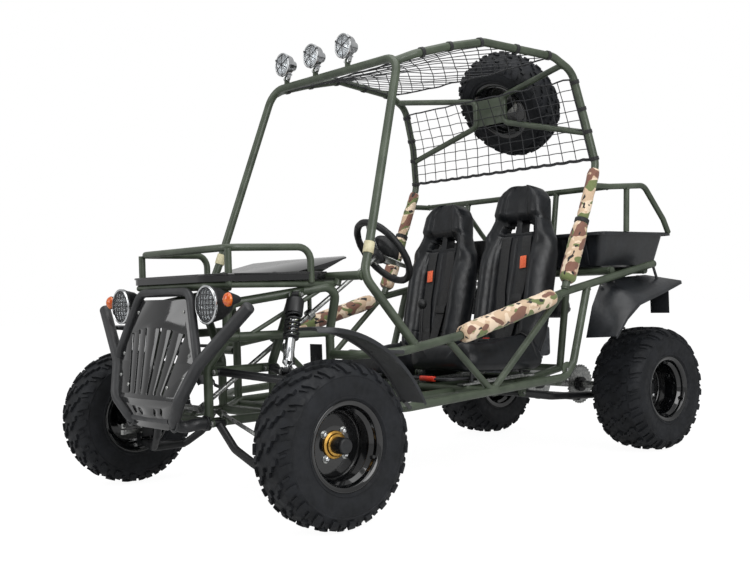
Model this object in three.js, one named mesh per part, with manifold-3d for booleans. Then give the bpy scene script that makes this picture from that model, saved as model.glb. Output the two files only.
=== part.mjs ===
// Off road go kart, two seats side by side, built as its bolted and jointed pieces.
// Millimetres, +Z up, the front faces -Y and the kart's left side is +X.
// Places are given from the front axle: X from the middle, Y rearwards, Z from the ground.

import * as THREE from 'three';
import { ConvexGeometry } from 'three/addons/geometries/ConvexGeometry.js';
import { mergeVertices } from 'three/addons/utils/BufferGeometryUtils.js';
import Module from 'manifold-3d';

const wasm = await Module();
wasm.setup();

// Wheels and stance
const wheelbase = 1932;
const frontTrack = 1330;
const rearTrack = 986;
const frontTyre = { radius: 266, width: 178 };
const rearTyre = { radius: 272, width: 250 };
const spareTyre = { radius: 258, width: 160 };
const rimRadius = 142;
const beadRadius = 126;
const wellRadius = 108;
const rimWall = 7;
const flangeWidth = 5;
const lugDepth = 10;
const hubRadius = 30;
const hubFlange = { radius: 44, width: 12 };
const discShare = 0.45;

// Clearances
const seatGap = 0.3;
const footLift = 12;
const runGap = 0.5;
const openPivotGap = 5;
const overrun = 10;

// Tube and sheet sizes, tubes as radii
const mainTube = 16;
const midTube = 13;
const rackTube = 12.5;
const braceTube = 8;
const thinTube = 7;
const wingTube = 21;
const hoopTube = 15;
const armTube = 14;
const tieTube = 7;
const sheetWall = 5;
const earWall = 5;
const pinRadius = 5.5;
const tubeBend = 55;
const tightBend = 22;

// Lower chassis rails and nose frame
const noseRailHalf = 165;
const floorRailHalf = 300;
const engineRailHalf = 240;
const noseHalfLength = 150;
const railZ = 311;
const floorStart = { y: 300, z: 322 };
const floorEnd = { y: 1330, z: 345 };
const engineEnd = { y: 1640, z: 372 };
const floorDrop = 8;
const crossMembers = [905, 1275];
const crossMemberLift = 10;
const midRailZ = 600;
const midRailRearHalf = 300;
const topRailFront = { x: 240, y: -100, z: 712 };
const dashCorner = { x: 350, y: 292, z: 766 };
const thinBraceLow = { x: 190, y: -27 };
const thinBraceHigh = { x: 337, y: 245, z: 761 };
const dashTubeZ = 797;
const hoodRailZ = 777;
const rearFrame = { x: 320, lowY: 1600, lowZ: 700, highY: 2030 };
const rearCrossY = [1650, 1890];
const bearingRing = { radius: 20, width: 24, y: 303 };

// Side frames, one on each side
const sideHalf = 550;
const sillFront = { y: 430, z: 333 };
const sillRear = { y: 1290, z: 371 };
const sillKick = { y: 1345, z: 425 };
const sillTopY = 1455;
const outrigger = { x: 430, y: 292 };
const sideBarFront = { y: 400, z: 527 };
const sideBarInner = { y: 296, z: 520 };
const sideBarBend = { y: 686, z: 566 };
const sideBarJoint = { y: 1322, z: 716 };
const sideBarEnd = { y: 1923, z: 822 };
const veeFootY = 858;
const veeFrontY = 632;
const veeRearY = 1290;
const gusset = { y: 1305, z: 402, half: 26 };

// Roll cage and its luggage rack
const cageFootY = 480;
const cageKnee = { x: 484, y: 303, z: 797 };
const sleeveBase = { x: 475, y: 333, z: 872 };
const sleeve = { length: 42, radius: 20 };
const hoopTop = { x: 396, y: 580, z: 1606 };
const hoopBend = 70;
const roofStart = { x: 420, y: 640, z: 1616 };
const roofFront = { x: 432, y: 786, z: 1657 };
const roofPeak = { x: 446, y: 985, z: 1700 };
const roofRear = { x: 500, y: 1345, z: 1677 };
const cageShoulder = { x: 511, y: 1450, z: 1625 };
const cageBack = { x: 524, y: 1508, z: 1430 };
const cageKink = { x: 548, y: 1542, z: 1241 };
const cageRearFootY = 1302;
const braceHigh = { x: 506, y: 1400, z: 1650 };
const braceLow = { x: 531, y: 1519, z: 1372 };
const bracePlate = { half: 80, low: 1480, high: 1598, y: 1500 };
const rackFrontZ = 1150;
const rackEndHalf = 553;
const rackCrossY = 1621;
const rackTopEnd = { y: 1870, z: 1165 };
const rackDrop = { y: 2010, z: 1020 };
const rackFoot = { y: 2060 };
const rackPostHalf = 270;
const rackPostFootY = 1589;
const rackMidY = 1745;

// Body panels
const hoodTopZ = 815;
const hoodDeep = 28;
const hoodFront = { x: 227, y: -194 };
const hoodCorner = { x: 315, y: -135 };
const hoodRear = { x: 357, y: 262 };
const cowlFront = { x: 300, y: 150 };
const cowlRear = { x: 300, y: 380, z: 868 };
const cowlLip = { x: 200, y: 452, z: 876 };
const hoodRackZ = 901;
const hoodRackFront = { x: 292, y: -122 };
const hoodRackRear = { x: 337, y: 188 };
const cargoRim = { x: 550, front: 1575, rear: 2085, z: 962, lip: 26 };
const cargoFloor = { x: 490, front: 1625, rear: 2035, z: 812 };
const fenderWall = 4;
const frontFender = {
  inner: 582, outer: 712, centre: { y: -53, z: 167 }, radius: 469,
  from: Math.PI * 0.512, to: Math.PI * 0.138, steps: 8, stayY: 225, tabZ: -6,
};
const rearFender = {
  inner: 480, outer: 640, stays: [1700, 1880], stayLength: 75,
  stations: [
    { innerY: 1525, innerZ: 518, outerY: 1519, outerZ: 525 },
    { innerY: 1571, innerZ: 646, outerY: 1602, outerZ: 603 },
    { innerY: 1641, innerZ: 755, outerY: 1693, outerZ: 660 },
    { innerY: 1800, innerZ: 768, outerY: 1868, outerZ: 705 },
    { innerY: 1965, innerZ: 775, outerY: 2006, outerZ: 744 },
  ],
};

// Bull bar and grille plate
const hoopHigh = { x: 169, y: -198, z: 758 };
const hoopLow = { x: 262, y: -235, z: 560 };
const wingTip = { x: 488, y: -179, z: 701 };
const wingMid = { x: 275, y: -238, z: 518 };
const wingLow = { x: 218, y: -280, z: 397 };
const wingBase = { x: 115, y: -253, z: 290 };
const ridgeHigh = { y: -232, z: 737 };
const ridgeMid = { y: -268 };
const ridgeLow = { y: -290 };
const grille = { slots: 3, slotShares: [0.3, 0.5, 0.7], slotHigh: 18, slotWide: 96 };

// Lamps
const headlamp = { x: 294, y: -210, z: 713, radius: 65, deep: 92, neck: 16 };
const signal = { x: 403, y: -195, z: 728, radius: 23, deep: 40 };
const roofLamp = { radius: 49, deep: 62, z: 1698, pivotZ: 1640, faceY: 560 };
const roofLampPlaces = [-297, -102, 103];
const lampFork = { wall: 4, lug: 10, radius: 10 };

// Front suspension and steering
const armPivotX = 200;
const lowerPivotZ = 311;
const upperPivotZ = 483;
const lowerPivotY = 119;
const upperPivotY = 105;
const bushing = { radius: 13, length: 40 };
const kingpinX = 545;
const lowerBallZ = 168;
const upperBallZ = 452;
const lowerBendA = { x: 262, y: 98, z: 226 };
const lowerBendB = { x: 345, y: 66, z: 172 };
const bracket = { x: 509, wall: 10, half: 21, low: 195, high: 425, ear: 12, reach: 560 };
const kingpin = { radius: 6, barrel: 14 };
const stub = { radius: 12, z: frontTyre.radius };
const trackArm = { x: 530, y: -95, z: 219, radius: 9 };
const tieEnd = { radius: 9, z: 243 };
const shockTop = { x: 340, y: 118, z: 736 };
const shockFoot = { x: 428, y: 5, z: 487 };
const shockEye = { radius: 12, length: 26 };
const shockTube = { radius: 18, length: 96 };
const shockCap = { radius: 27, length: 40 };
const shockRod = 6;
const coil = { radius: 24, wire: 4.5, curls: 5 };
const rackBar = { y: -105, z: 346, radius: 8, half: 188, housing: 14, housingFrom: -118, housingTo: 72 };
const pinion = { x: 96, y: -117, z: 361.5, radius: 11, length: 26 };
const wheelCentre = { x: 230, y: 620, z: 890 };
const wheelRim = { radius: 136, grip: 14 };
const wheelHub = { radius: 62, deep: 46 };
const steerShaft = 9;

// Rear axle and swing arm
const swingPivot = { x: 276, y: 1332, z: 290 };
const swingTube = 16;
const swingMid = { x: 300, y: 1500, z: 262 };
const swingRear = { x: 300, y: 1794, z: 243 };
const swingCrossY = 1690;
const carrier = { radius: 38, width: 40 };
const axle = { radius: 17.5, bore: 18 };
const sprocket = { x: 120, radius: 92, wall: 6, teeth: 16, depth: 9 };
const brakeDisc = { x: -130, radius: 86, wall: 6 };
const rearShockTop = { x: 320, y: 2000, z: 716 };
const rearShockFoot = { x: 320, y: 1952, z: 338 };
const rearCoil = { radius: 25, wire: 5, curls: 7 };
const rearCup = { length: 62, play: 34 };

// Engine, pedals and levers
const engineBlock = { half: 150, front: 1450, rear: 1700, low: 420, high: 560 };
const engineHead = { x: 40, y: 1560, radius: 62, low: 556, high: 705, fins: 3, fin: 8 };
const flywheel = { x: -190, y: 1570, z: 490, radius: 95, deep: 50 };
const muffler = { y: 1800, z: 640, radius: 52, half: 150 };
const pedalY = 262;
const pedalPivotZ = 372;
const pedalPad = { z: 520, y: 240, half: 32, high: 78 };
const brakeX = 120;
const throttleX = 285;
const leverPivot = { y: 1005, z: 392 };
const leverKnob = { y: 1036, z: 679, radius: 21 };

// Seats
const seatHalf = 230;
const seatDrop = 45;
const seat = {
  half: 203, headHalf: 128, thick: 44, bolster: 58, channel: 7,
  frontY: 885, frontZ: 492, hipY: 1290, hipZ: 476, topY: 1463, topZ: 1178,
};
const seatRail = { spread: 135, half: 14, high: 8, from: 880, to: 1300 };
const slotHigh = 993;
const slotSize = { wide: 62, high: 26, deep: 16 };
const sliderHandle = { y: 905, reach: 70, radius: 6 };

// Pads
const padRadius = 38;
const slimPadRadius = 27;
const padBore = 17.4;
const sidePadFrontY = 700;
const sidePadRearY = 1234;
const pillarPadTopZ = 1218;
const pillarPadStepZ = 1000;
const pillarPadLowZ = 752;

// Roof net
const net = { wall: 4, ease: -0.7, inset: 0.12, columns: 8, roofRows: [1, 2, 3], backRows: [2, 2], sag: 12 };
const spare = { y: 1628, z: 1586, lean: 0.6, stubRadius: 22 };
const strandShare = 0.16;

const tubeSides = 6;
const pinSides = 5;
const tipReachShare = 0.85;
const tipWidthShare = 0.6;
const roundSides = 8;
const tyreSides = 18;
const rimSides = 12;
const bendArc = 88;
const slightTurn = Math.PI / 5;

// Colours and finishes
const finishes = {
  olive: { color: 0x5a5c3a, roughness: 0.42, metalness: 0.25 },
  black: { color: 0x17181a, roughness: 0.55, metalness: 0.2 },
  gloss: { color: 0x101113, roughness: 0.18, metalness: 0.2 },
  rubber: { color: 0x1c1c1d, roughness: 0.9, metalness: 0 },
  vinyl: { color: 0x1b1b1d, roughness: 0.62, metalness: 0 },
  camo: { color: 0xa58a6a, roughness: 0.85, metalness: 0 },
  chrome: { color: 0xd9dbdd, roughness: 0.12, metalness: 1 },
  steel: { color: 0x9a9da0, roughness: 0.35, metalness: 0.9 },
  net: { color: 0x222324, roughness: 0.9, metalness: 0 },
  castGrey: { color: 0x70737a, roughness: 0.5, metalness: 0.7 },
};

const kart = new THREE.Group();
kart.name = 'off_road_go_kart';

// Points and directions

const point = (x, y, z) => new THREE.Vector3(x, y, z);
const place = (spot) => point(spot.x ?? 0, spot.y ?? 0, spot.z ?? 0);
const flipped = (spot) => point(-spot.x, spot.y, spot.z);
const between = (a, b, share) => a.clone().lerp(b, share);
const atHeight = (a, b, z) => between(a, b, (z - a.z) / (b.z - a.z));
const atLength = (a, b, y) => between(a, b, (y - a.y) / (b.y - a.y));

// Closed geometry as a solid, and back again

function solidOf(geometry) {
  const bare = geometry.clone();
  for (const name of Object.keys(bare.attributes)) {
    if (name !== 'position') {
      bare.deleteAttribute(name);
    }
  }
  const merged = mergeVertices(bare, runGap / 1000);
  const mesh = new wasm.Mesh({
    numProp: 3,
    vertProperties: new Float32Array(merged.attributes.position.array),
    triVerts: new Uint32Array(merged.index.array),
  });
  return new wasm.Manifold(mesh);
}

function geometryOf(solid) {
  const mesh = solid.getMesh();
  const geometry = new THREE.BufferGeometry();
  geometry.setAttribute('position', new THREE.BufferAttribute(mesh.vertProperties, 3));
  geometry.setIndex(new THREE.BufferAttribute(mesh.triVerts, 1));
  return geometry;
}

const join = (...solids) => solids.flat().reduce((whole, piece) => whole.add(piece));
const cut = (whole, ...tools) => tools.flat().reduce((rest, tool) => rest.subtract(tool), whole);

function moved(solid, matrix) {
  return solidOf(geometryOf(solid).applyMatrix4(matrix));
}

const shifted = (solid, by) => moved(solid, new THREE.Matrix4().setPosition(by));

function mirrored(geometry) {
  const copy = geometry.clone().applyMatrix4(new THREE.Matrix4().makeScale(-1, 1, 1));
  const index = copy.index.array.slice();
  for (let i = 0; i < index.length; i += 3) {
    [index[i], index[i + 1]] = [index[i + 1], index[i]];
  }
  copy.setIndex(new THREE.BufferAttribute(index, 1));
  return copy;
}

const twin = (solid) => solidOf(mirrored(geometryOf(solid)));
const withTwin = (solid) => join(solid, twin(solid));

// Basic forms

function block(centre, size) {
  const geometry = new THREE.BoxGeometry(size.x, size.y, size.z);
  return solidOf(geometry.translate(centre.x, centre.y, centre.z));
}

const hull = (points) => solidOf(new ConvexGeometry(points));

// A frame whose Z axis runs along the given direction.
function aimed(centre, along, across = point(1, 0, 0)) {
  const z = along.clone().normalize();
  const x = across.clone().addScaledVector(z, -across.dot(z)).normalize();
  const y = z.clone().cross(x);
  return new THREE.Matrix4().makeBasis(x, y, z).setPosition(centre);
}

// A solid of revolution about the Z axis of a frame; the outline is [radius, height] pairs.
function turned(outline, frame, sides = roundSides) {
  const points = outline.map(([radius, height]) => new THREE.Vector2(radius, height));
  const geometry = new THREE.LatheGeometry(points, sides);
  geometry.rotateX(Math.PI / 2);
  return solidOf(geometry.applyMatrix4(frame));
}

function disc(centre, axis, radius, length, sides = roundSides) {
  const half = length / 2;
  const outline = [[0, -half], [radius, -half], [radius, half], [0, half]];
  const across = Math.abs(axis.x) > Math.abs(axis.z) ? point(0, 0, 1) : point(1, 0, 0);
  return turned(outline, aimed(centre, axis, across), sides);
}

function rod(from, to, radius, sides = tubeSides) {
  return disc(between(from, to, 0.5), to.clone().sub(from), radius, from.distanceTo(to), sides);
}

// A run of straight stretches with one step at each of its points.
class Run extends THREE.Curve {
  constructor(points) {
    super();
    this.points = points;
  }

  getPoint(t) {
    const place = t * (this.points.length - 1);
    const from = Math.min(Math.floor(place), this.points.length - 2);
    return between(this.points[from], this.points[from + 1], place - from);
  }

  getPointAt(t) {
    return this.getPoint(t);
  }

  getTangentAt(t) {
    const last = this.points.length - 1;
    const near = Math.round(t * last);
    const before = this.points[Math.max(near - 1, 0)];
    const here = this.points[near];
    const after = this.points[Math.min(near + 1, last)];
    const coming = here.clone().sub(before).normalize();
    const going = after.clone().sub(here).normalize();
    return coming.add(going).normalize();
  }
}

// Corner points become round bends.
function rounded(points, bend) {
  const run = [points[0]];
  for (let i = 1; i < points.length - 1; i += 1) {
    const corner = points[i];
    const back = points[i - 1].clone().sub(corner);
    const on = points[i + 1].clone().sub(corner);
    const turn = Math.PI - back.angleTo(on);
    const steps = Math.ceil(turn * bend / bendArc);
    const reach = Math.min(bend * Math.tan(turn / 2), back.length() / 2.1, on.length() / 2.1);
    const start = corner.clone().addScaledVector(back.normalize(), reach);
    const end = corner.clone().addScaledVector(on.normalize(), reach);
    const arc = new THREE.QuadraticBezierCurve3(start, corner, end);
    run.push(...(turn < slightTurn ? [corner] : arc.getPoints(steps)));
  }
  run.push(points[points.length - 1]);
  return run;
}

function polygon(radius, sides) {
  const shape = new THREE.Shape();
  for (let i = 0; i < sides; i += 1) {
    const angle = (i + 0.5) * 2 * Math.PI / sides;
    const x = radius * Math.cos(angle);
    const y = radius * Math.sin(angle);
    i ? shape.lineTo(x, y) : shape.moveTo(x, y);
  }
  return shape;
}

function pipe(points, radius, bend = tubeBend, sides = tubeSides) {
  const run = bend ? rounded(points, bend) : points;
  const geometry = new THREE.ExtrudeGeometry(polygon(radius, sides), {
    steps: run.length - 1,
    extrudePath: new Run(run),
    bevelEnabled: false,
  });
  return solidOf(geometry);
}

// A flat outline given by [x, y] pairs, thickened along the Z axis of a frame.
function sheet(outline, thickness, frame) {
  const shape = new THREE.Shape(outline.map(([x, y]) => new THREE.Vector2(x, y)));
  const geometry = new THREE.ExtrudeGeometry(shape, { depth: thickness, bevelEnabled: false });
  return solidOf(geometry.applyMatrix4(frame));
}

// Two ears with a pin between them, on the given axis, with their feet at a tube.
function clevis(centre, axis, gapLength, foot, earRadius = bushing.radius) {
  const way = axis.clone().normalize();
  const offAxis = foot.clone().sub(centre).dot(way);
  const base = foot.clone().addScaledVector(way, -offAxis);
  const toTip = centre.clone().sub(base);
  const tip = centre.clone().addScaledVector(toTip.clone().normalize(), earRadius * tipReachShare);
  const wide = toTip.clone().cross(way).normalize().multiplyScalar(earRadius);
  const ears = [-1, 1].map((side) => {
    const corners = [];
    for (const depth of [0, earWall]) {
      const out = side * (gapLength / 2 + runGap + depth);
      for (const [end, share] of [[base, 1], [tip, tipWidthShare]]) {
        for (const half of [-share, share]) {
          corners.push(end.clone().addScaledVector(way, out).addScaledVector(wide, half));
        }
      }
    }
    return hull(corners);
  });
  const reach = gapLength / 2 + runGap + earWall / 2;
  const pin = rod(
    centre.clone().addScaledVector(way, -reach),
    centre.clone().addScaledVector(way, reach),
    pinRadius,
    pinSides,
  );
  return join(...ears, pin);
}

const boreRadius = (pinRadius + runGap) / Math.cos(Math.PI / pinSides);

function eyeBore(centre, axis, length, radius = boreRadius) {
  return disc(centre, axis, radius, length + overrun, pinSides);
}

function addPart(name, finish, solid, at = point(0, 0, 0)) {
  const geometry = geometryOf(solid).toNonIndexed();
  geometry.computeVertexNormals();
  const mesh = new THREE.Mesh(geometry, new THREE.MeshStandardMaterial(finishes[finish]));
  mesh.name = name;
  mesh.position.copy(at);
  kart.add(mesh);
}

function addPair(name, finish, solid, at = point(0, 0, 0)) {
  addPart(`${name}_left`, finish, solid, at);
  addPart(`${name}_right`, finish, twin(solid), flipped(at));
}

// Tyres, rims and the spare wheel, each about the X axis at its own centre

const wheelFrame = new THREE.Matrix4().makeRotationY(Math.PI / 2);

// Tread blocks stand in staggered rows: two facets high and one facet low, so each block is flat.
function tyreSolid(size) {
  const { radius, width } = size;
  const half = width / 2;
  const crown = radius / Math.cos(Math.PI / tyreSides);
  const rowShares = [-0.86, -0.42, 0.42, 0.86];
  const rows = rowShares.map((share) => [crown - (Math.abs(share) > 0.5 ? lugDepth : 0), share * half]);
  const shoulder = radius - 3 * lugDepth;
  const seat = (beadRadius + seatGap) / Math.cos(Math.PI / tyreSides);
  const outline = [
    [seat, -half + 4 * flangeWidth + seatGap],
    [shoulder, -half],
    ...rows,
    [shoulder, half],
    [seat, half - 4 * flangeWidth - seatGap],
  ];
  outline.push(outline[0]);
  const points = outline.map(([r, h]) => new THREE.Vector2(r, h));
  const geometry = new THREE.LatheGeometry(points, tyreSides);
  const positions = geometry.attributes.position;
  const firstRow = 2;
  for (let i = 0; i <= tyreSides; i += 1) {
    rows.forEach(([reach], row) => {
      const outer = row === 0 || row === rows.length - 1;
      const low = (i + (outer ? 1 : 0)) % 3 === 2;
      if (low) {
        const index = i * outline.length + firstRow + row;
        const share = (reach - lugDepth) / reach;
        positions.setX(index, positions.getX(index) * share);
        positions.setZ(index, positions.getZ(index) * share);
      }
    });
  }
  geometry.rotateX(Math.PI / 2);
  geometry.rotateZ(Math.PI / 2 - Math.PI / tyreSides);
  return solidOf(geometry.applyMatrix4(wheelFrame));
}

// A drop centre rim with flanges, a dished disc and a hub; the face is towards +X.
function rimSolid(width, hubDeep, bore) {
  const half = width / 2 - 2 * flangeWidth;
  const bead = half - 2 * flangeWidth;
  const web = half * discShare;
  const capInner = web + hubDeep - rimWall;
  const hubBack = bore ? [[0, capInner], [bore, capInner], [bore, -hubDeep]] : [[0, -hubDeep]];
  const outline = [
    ...hubBack, [hubRadius, -hubDeep], [hubRadius, web], [wellRadius, web],
    [beadRadius - rimWall, -bead], [rimRadius - rimWall, -half], [rimRadius, -half],
    [beadRadius, -bead], [beadRadius, bead], [rimRadius, half], [rimRadius - rimWall, half],
    [beadRadius - rimWall, bead], [wellRadius, web + rimWall],
    [hubFlange.radius, web + 2 * rimWall], [hubRadius, web + hubDeep], [0, web + hubDeep],
  ];
  return turned(outline, wheelFrame, rimSides);
}

const frontWheelAt = point(frontTrack / 2, 0, frontTyre.radius);
const rearWheelAt = point(rearTrack / 2, wheelbase, rearTyre.radius);
const frontHubDeep = 40;
const rearHubDeep = 52;
const stubBore = (stub.radius + runGap) / Math.cos(Math.PI / rimSides);
addPair('front_tyre', 'rubber', tyreSolid(frontTyre), frontWheelAt);
addPair('front_rim', 'gloss', rimSolid(frontTyre.width, frontHubDeep, stubBore), frontWheelAt);
addPair('rear_tyre', 'rubber', tyreSolid(rearTyre), rearWheelAt);

// Side frames: the sill, the long side bar and the vee between them

const floorHeight = (y) => floorStart.z
  + (floorEnd.z - floorStart.z) * (y - floorStart.y) / (floorEnd.y - floorStart.y);
const onSide = (spot) => point(sideHalf, spot.y, spot.z);
const barJoint = onSide(sideBarJoint);
const barAt = (y) => [
  [onSide(sideBarFront), onSide(sideBarBend)],
  [onSide(sideBarBend), barJoint],
  [barJoint, onSide(sideBarEnd)],
].filter(([from]) => from.y <= y).map(([from, to]) => atLength(from, to, y)).pop();
const postFace = floorRailHalf + mainTube + seatGap;

const sideBarPath = [
  point(postFace, dashCorner.y, sideBarInner.z),
  point(outrigger.x, sideBarInner.y, sideBarInner.z),
  onSide(sideBarFront), onSide(sideBarBend), barJoint, onSide(sideBarEnd),
];
const sillPath = [
  point(postFace, outrigger.y, floorStart.z), point(outrigger.x, outrigger.y, floorStart.z),
  onSide(sillFront), onSide(sillRear), onSide(sillKick), barAt(sillTopY),
];
const veePath = [
  barAt(veeFrontY), atLength(onSide(sillFront), onSide(sillRear), veeFootY), barAt(veeRearY),
];
const sideBarCutter = withTwin(pipe(sideBarPath, mainTube + seatGap));
const sillCutter = withTwin(pipe(sillPath, mainTube + seatGap));

function sideFrame() {
  const plate = block(onSide(gusset), point(sheetWall, 2 * gusset.half, 2 * gusset.half));
  return join(
    pipe(sideBarPath, mainTube),
    pipe(sillPath, mainTube),
    pipe(veePath, midTube, 0),
    plate,
    rod(onSide({ y: gusset.y, z: gusset.z + gusset.half / 2 }), onSide(sillKick), sheetWall),
  );
}

addPair('side_frame', 'olive', sideFrame());

// Roll cage: the front hoop, the roof rails down to the rear feet, the X brace and the luggage rack

const rearFoot = between(barAt(cageRearFootY), place(cageKink), footLift / cageKink.z);
const pillarAt = (z) => atHeight(rearFoot, place(cageKink), z);

const roofRailPath = [
  point(hoopTop.x - mainTube, hoopTop.y, hoopTop.z - mainTube),
  ...[roofStart, roofFront, roofPeak, roofRear, cageShoulder, cageBack, cageKink].map(place), rearFoot,
];
const braceEdge = bracePlate.half + midTube / 2;
const bracePath = [
  place(braceHigh), point(braceEdge, bracePlate.y, bracePlate.high),
  point(braceEdge, bracePlate.y, bracePlate.low), place(braceLow),
];
const cageCutter = withTwin(join(
  pipe(roofRailPath, mainTube + seatGap), pipe(bracePath, midTube + seatGap, tightBend),
));

function luggageRail() {
  const footHalf = cargoRim.x - cargoRim.lip / 2;
  const below = cargoRim.z - overrun;
  return join(
    pipe([
      pillarAt(rackFrontZ), point(rackEndHalf, rackCrossY, rackFrontZ),
      point(rackEndHalf, rackTopEnd.y, rackTopEnd.z), point(rackEndHalf, rackDrop.y, rackDrop.z),
      point(footHalf, rackFoot.y, below),
    ], rackTube),
    pipe([point(rackPostHalf, rackCrossY, rackFrontZ), point(rackPostHalf, rackPostFootY, below)], rackTube, 0),
    pipe([point(rackEndHalf, rackMidY, rackFrontZ), point(footHalf, rackMidY, below)], rackTube, 0),
  );
}

const lampLugAt = (x) => point(x, hoopTop.y, roofLamp.pivotZ);

function lampLug(x) {
  const top = lampLugAt(x);
  const tab = lampFork.lug;
  const web = block(
    point(x, top.y, (hoopTop.z + top.z) / 2),
    point(tab, 2 * lampFork.radius, top.z - hoopTop.z),
  );
  const eye = disc(top, point(1, 0, 0), lampFork.radius, tab, roundSides);
  return cut(join(web, eye), eyeBore(top, point(1, 0, 0), tab));
}

const legFoot = between(barAt(cageFootY), place(cageKnee), footLift / cageKnee.z);
const hoopPath = [legFoot, place(cageKnee), place(sleeveBase), place(hoopTop)];
const hoopWhole = [...hoopPath, ...hoopPath.map(flipped).reverse()];

const hoopCutter = pipe(hoopWhole, mainTube + seatGap, hoopBend);

function rollCage() {
  const sleeveAxis = place(hoopTop).sub(place(sleeveBase)).normalize();
  const collar = disc(place(sleeveBase), sleeveAxis, sleeve.radius, sleeve.length, tubeSides);
  const plateSize = point(2 * bracePlate.half, sheetWall, bracePlate.high - bracePlate.low);
  const plateAt = point(0, bracePlate.y, (bracePlate.high + bracePlate.low) / 2);
  const crossBar = rod(
    point(-rackEndHalf, rackCrossY, rackFrontZ), point(rackEndHalf, rackCrossY, rackFrontZ), rackTube,
  );
  const footCut = block(
    point(0, (cargoRim.front + cargoRim.rear) / 2, cargoRim.z + seatGap - overrun),
    point(2 * cargoRim.x + 6 * overrun, cargoRim.rear - cargoRim.front + 2 * overrun, 2 * overrun),
  );
  const whole = join(
    pipe(hoopWhole, mainTube, hoopBend),
    withTwin(join(pipe(roofRailPath, mainTube), pipe(bracePath, midTube, tightBend), luggageRail(), collar)),
    block(plateAt, plateSize),
    crossBar,
    ...roofLampPlaces.map(lampLug),
  );
  return cut(whole, sideBarCutter, footCut);
}

addPart('roll_cage', 'olive', rollCage());

// Chassis: lower rails, nose frame, floor, hood rack, seat rails, engine cradle and rear frame

const postY = noseHalfLength - mainTube;
const topRailAt = (y) => atLength(place(topRailFront), place(dashCorner), y);
const boxFloorTubeZ = cargoFloor.z - seatGap - mainTube;
const seatRailTop = (y) => floorHeight(y) + crossMemberLift + mainTube + seatRail.high;
const shaftWay = place(wheelCentre).sub(place(pinion)).normalize();
const bearingAt = atLength(place(pinion), place(wheelCentre), bearingRing.y);
const shockWay = place(shockFoot).sub(place(shockTop)).normalize();
const shockAxis = point(0, 0, 1).cross(shockWay).normalize();
const rearShockAxis = point(1, 0, 0);

const postKneeZ = upperPivotZ + mainTube;
const nosePostPath = [
  point(noseRailHalf, -postY, railZ), point(noseRailHalf, -postY, postKneeZ),
  point(topRailFront.x, topRailFront.y, midRailZ), place(topRailFront), place(dashCorner),
  point(midRailRearHalf, dashCorner.y, midRailZ), point(floorRailHalf, dashCorner.y, floorStart.z),
];
const nosePostCutter = pipe(nosePostPath, mainTube + seatGap, 0);

function noseSide() {
  const shockEar = topRailAt(shockTop.y + 3 * bushing.radius);
  const pieces = [
    pipe([
      point(noseRailHalf, -noseHalfLength, railZ), point(noseRailHalf, noseHalfLength, railZ),
      point(floorRailHalf, floorStart.y, floorStart.z), point(floorRailHalf, floorEnd.y, floorEnd.z),
      point(engineRailHalf, engineEnd.y, engineEnd.z),
    ], mainTube, 0),
    pipe(nosePostPath, mainTube, 0),
    pipe([point(noseRailHalf, postY, railZ), point(noseRailHalf, postY, postKneeZ), topRailAt(postY)], mainTube, 0),
    pipe([point(topRailFront.x, topRailFront.y, midRailZ), point(midRailRearHalf, dashCorner.y, midRailZ)], mainTube, 0),
    pipe([point(noseRailHalf, -postY, upperPivotZ), point(noseRailHalf, postY, upperPivotZ)], mainTube, 0),
    pipe([
      point(atLength(point(topRailFront.x, topRailFront.y, 0), point(midRailRearHalf, dashCorner.y, 0),
        thinBraceLow.y).x, thinBraceLow.y, midRailZ),
      topRailAt(thinBraceHigh.y),
    ], braceTube, 0),
    rod(place(dashCorner), point(dashCorner.x, cageKnee.y, dashTubeZ), midTube),
    clevis(place(shockTop), shockAxis, shockEye.length, shockEar),
  ];
  for (const side of [-1, 1]) {
    pieces.push(clevis(point(armPivotX, side * lowerPivotY, lowerPivotZ), point(0, 1, 0), bushing.length,
      point(noseRailHalf, side * lowerPivotY, lowerPivotZ)));
    pieces.push(clevis(point(armPivotX, side * upperPivotY, upperPivotZ), point(0, 1, 0), bushing.length,
      point(noseRailHalf, side * upperPivotY, upperPivotZ)));
  }
  return join(...pieces);
}

function acrossTube(half, y, z, radius = mainTube) {
  return rod(point(-half, y, z), point(half, y, z), radius);
}

function floorPan() {
  const corners = [];
  for (const y of [floorStart.y, floorEnd.y]) {
    for (const x of [-floorRailHalf, floorRailHalf]) {
      const z = floorHeight(y) - floorDrop;
      corners.push(point(x, y, z), point(x, y, z - sheetWall));
    }
  }
  return hull(corners);
}

function seatRailPair(x) {
  return [-seatRail.spread, seatRail.spread].map((offset) => {
    const corners = [];
    for (const y of [seatRail.from, seatRail.to]) {
      for (const side of [-seatRail.half, seatRail.half]) {
        const top = seatRailTop(y);
        corners.push(point(x + offset + side, y, top), point(x + offset + side, y, top - seatRail.high - mainTube / 2));
      }
    }
    return hull(corners);
  });
}

function hoodRack() {
  const rear = point(hoodRackRear.x, hoodRackRear.y, hoodRailZ);
  const rearTop = point(hoodRackRear.x, hoodRackRear.y, hoodRackZ);
  const frontTop = point(hoodRackFront.x, hoodRackFront.y, hoodRackZ);
  const loop = [rear, rearTop, frontTop];
  const posts = rod(point(hoodRackFront.x, hoodRackFront.y, hoodRailZ), frontTop, rackTube);
  return join(pipe([...loop, ...loop.map(flipped).reverse()], rackTube, tubeBend), withTwin(posts));
}

const hoodRailRadius = 11;
const hoodRailFrontY = hoodFront.y + 2 * hoodRailRadius;

function hoodRail() {
  const half = [
    point(dashCorner.x - hoodRailRadius, dashCorner.y, dashCorner.z + sheetWall),
    point(hoodRackFront.x, hoodRackFront.y, hoodRailZ),
    point(hoodFront.x, hoodRailFrontY, hoodRailZ),
  ];
  return pipe([...half, ...half.map(flipped).reverse()], hoodRailRadius, 0);
}

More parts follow.
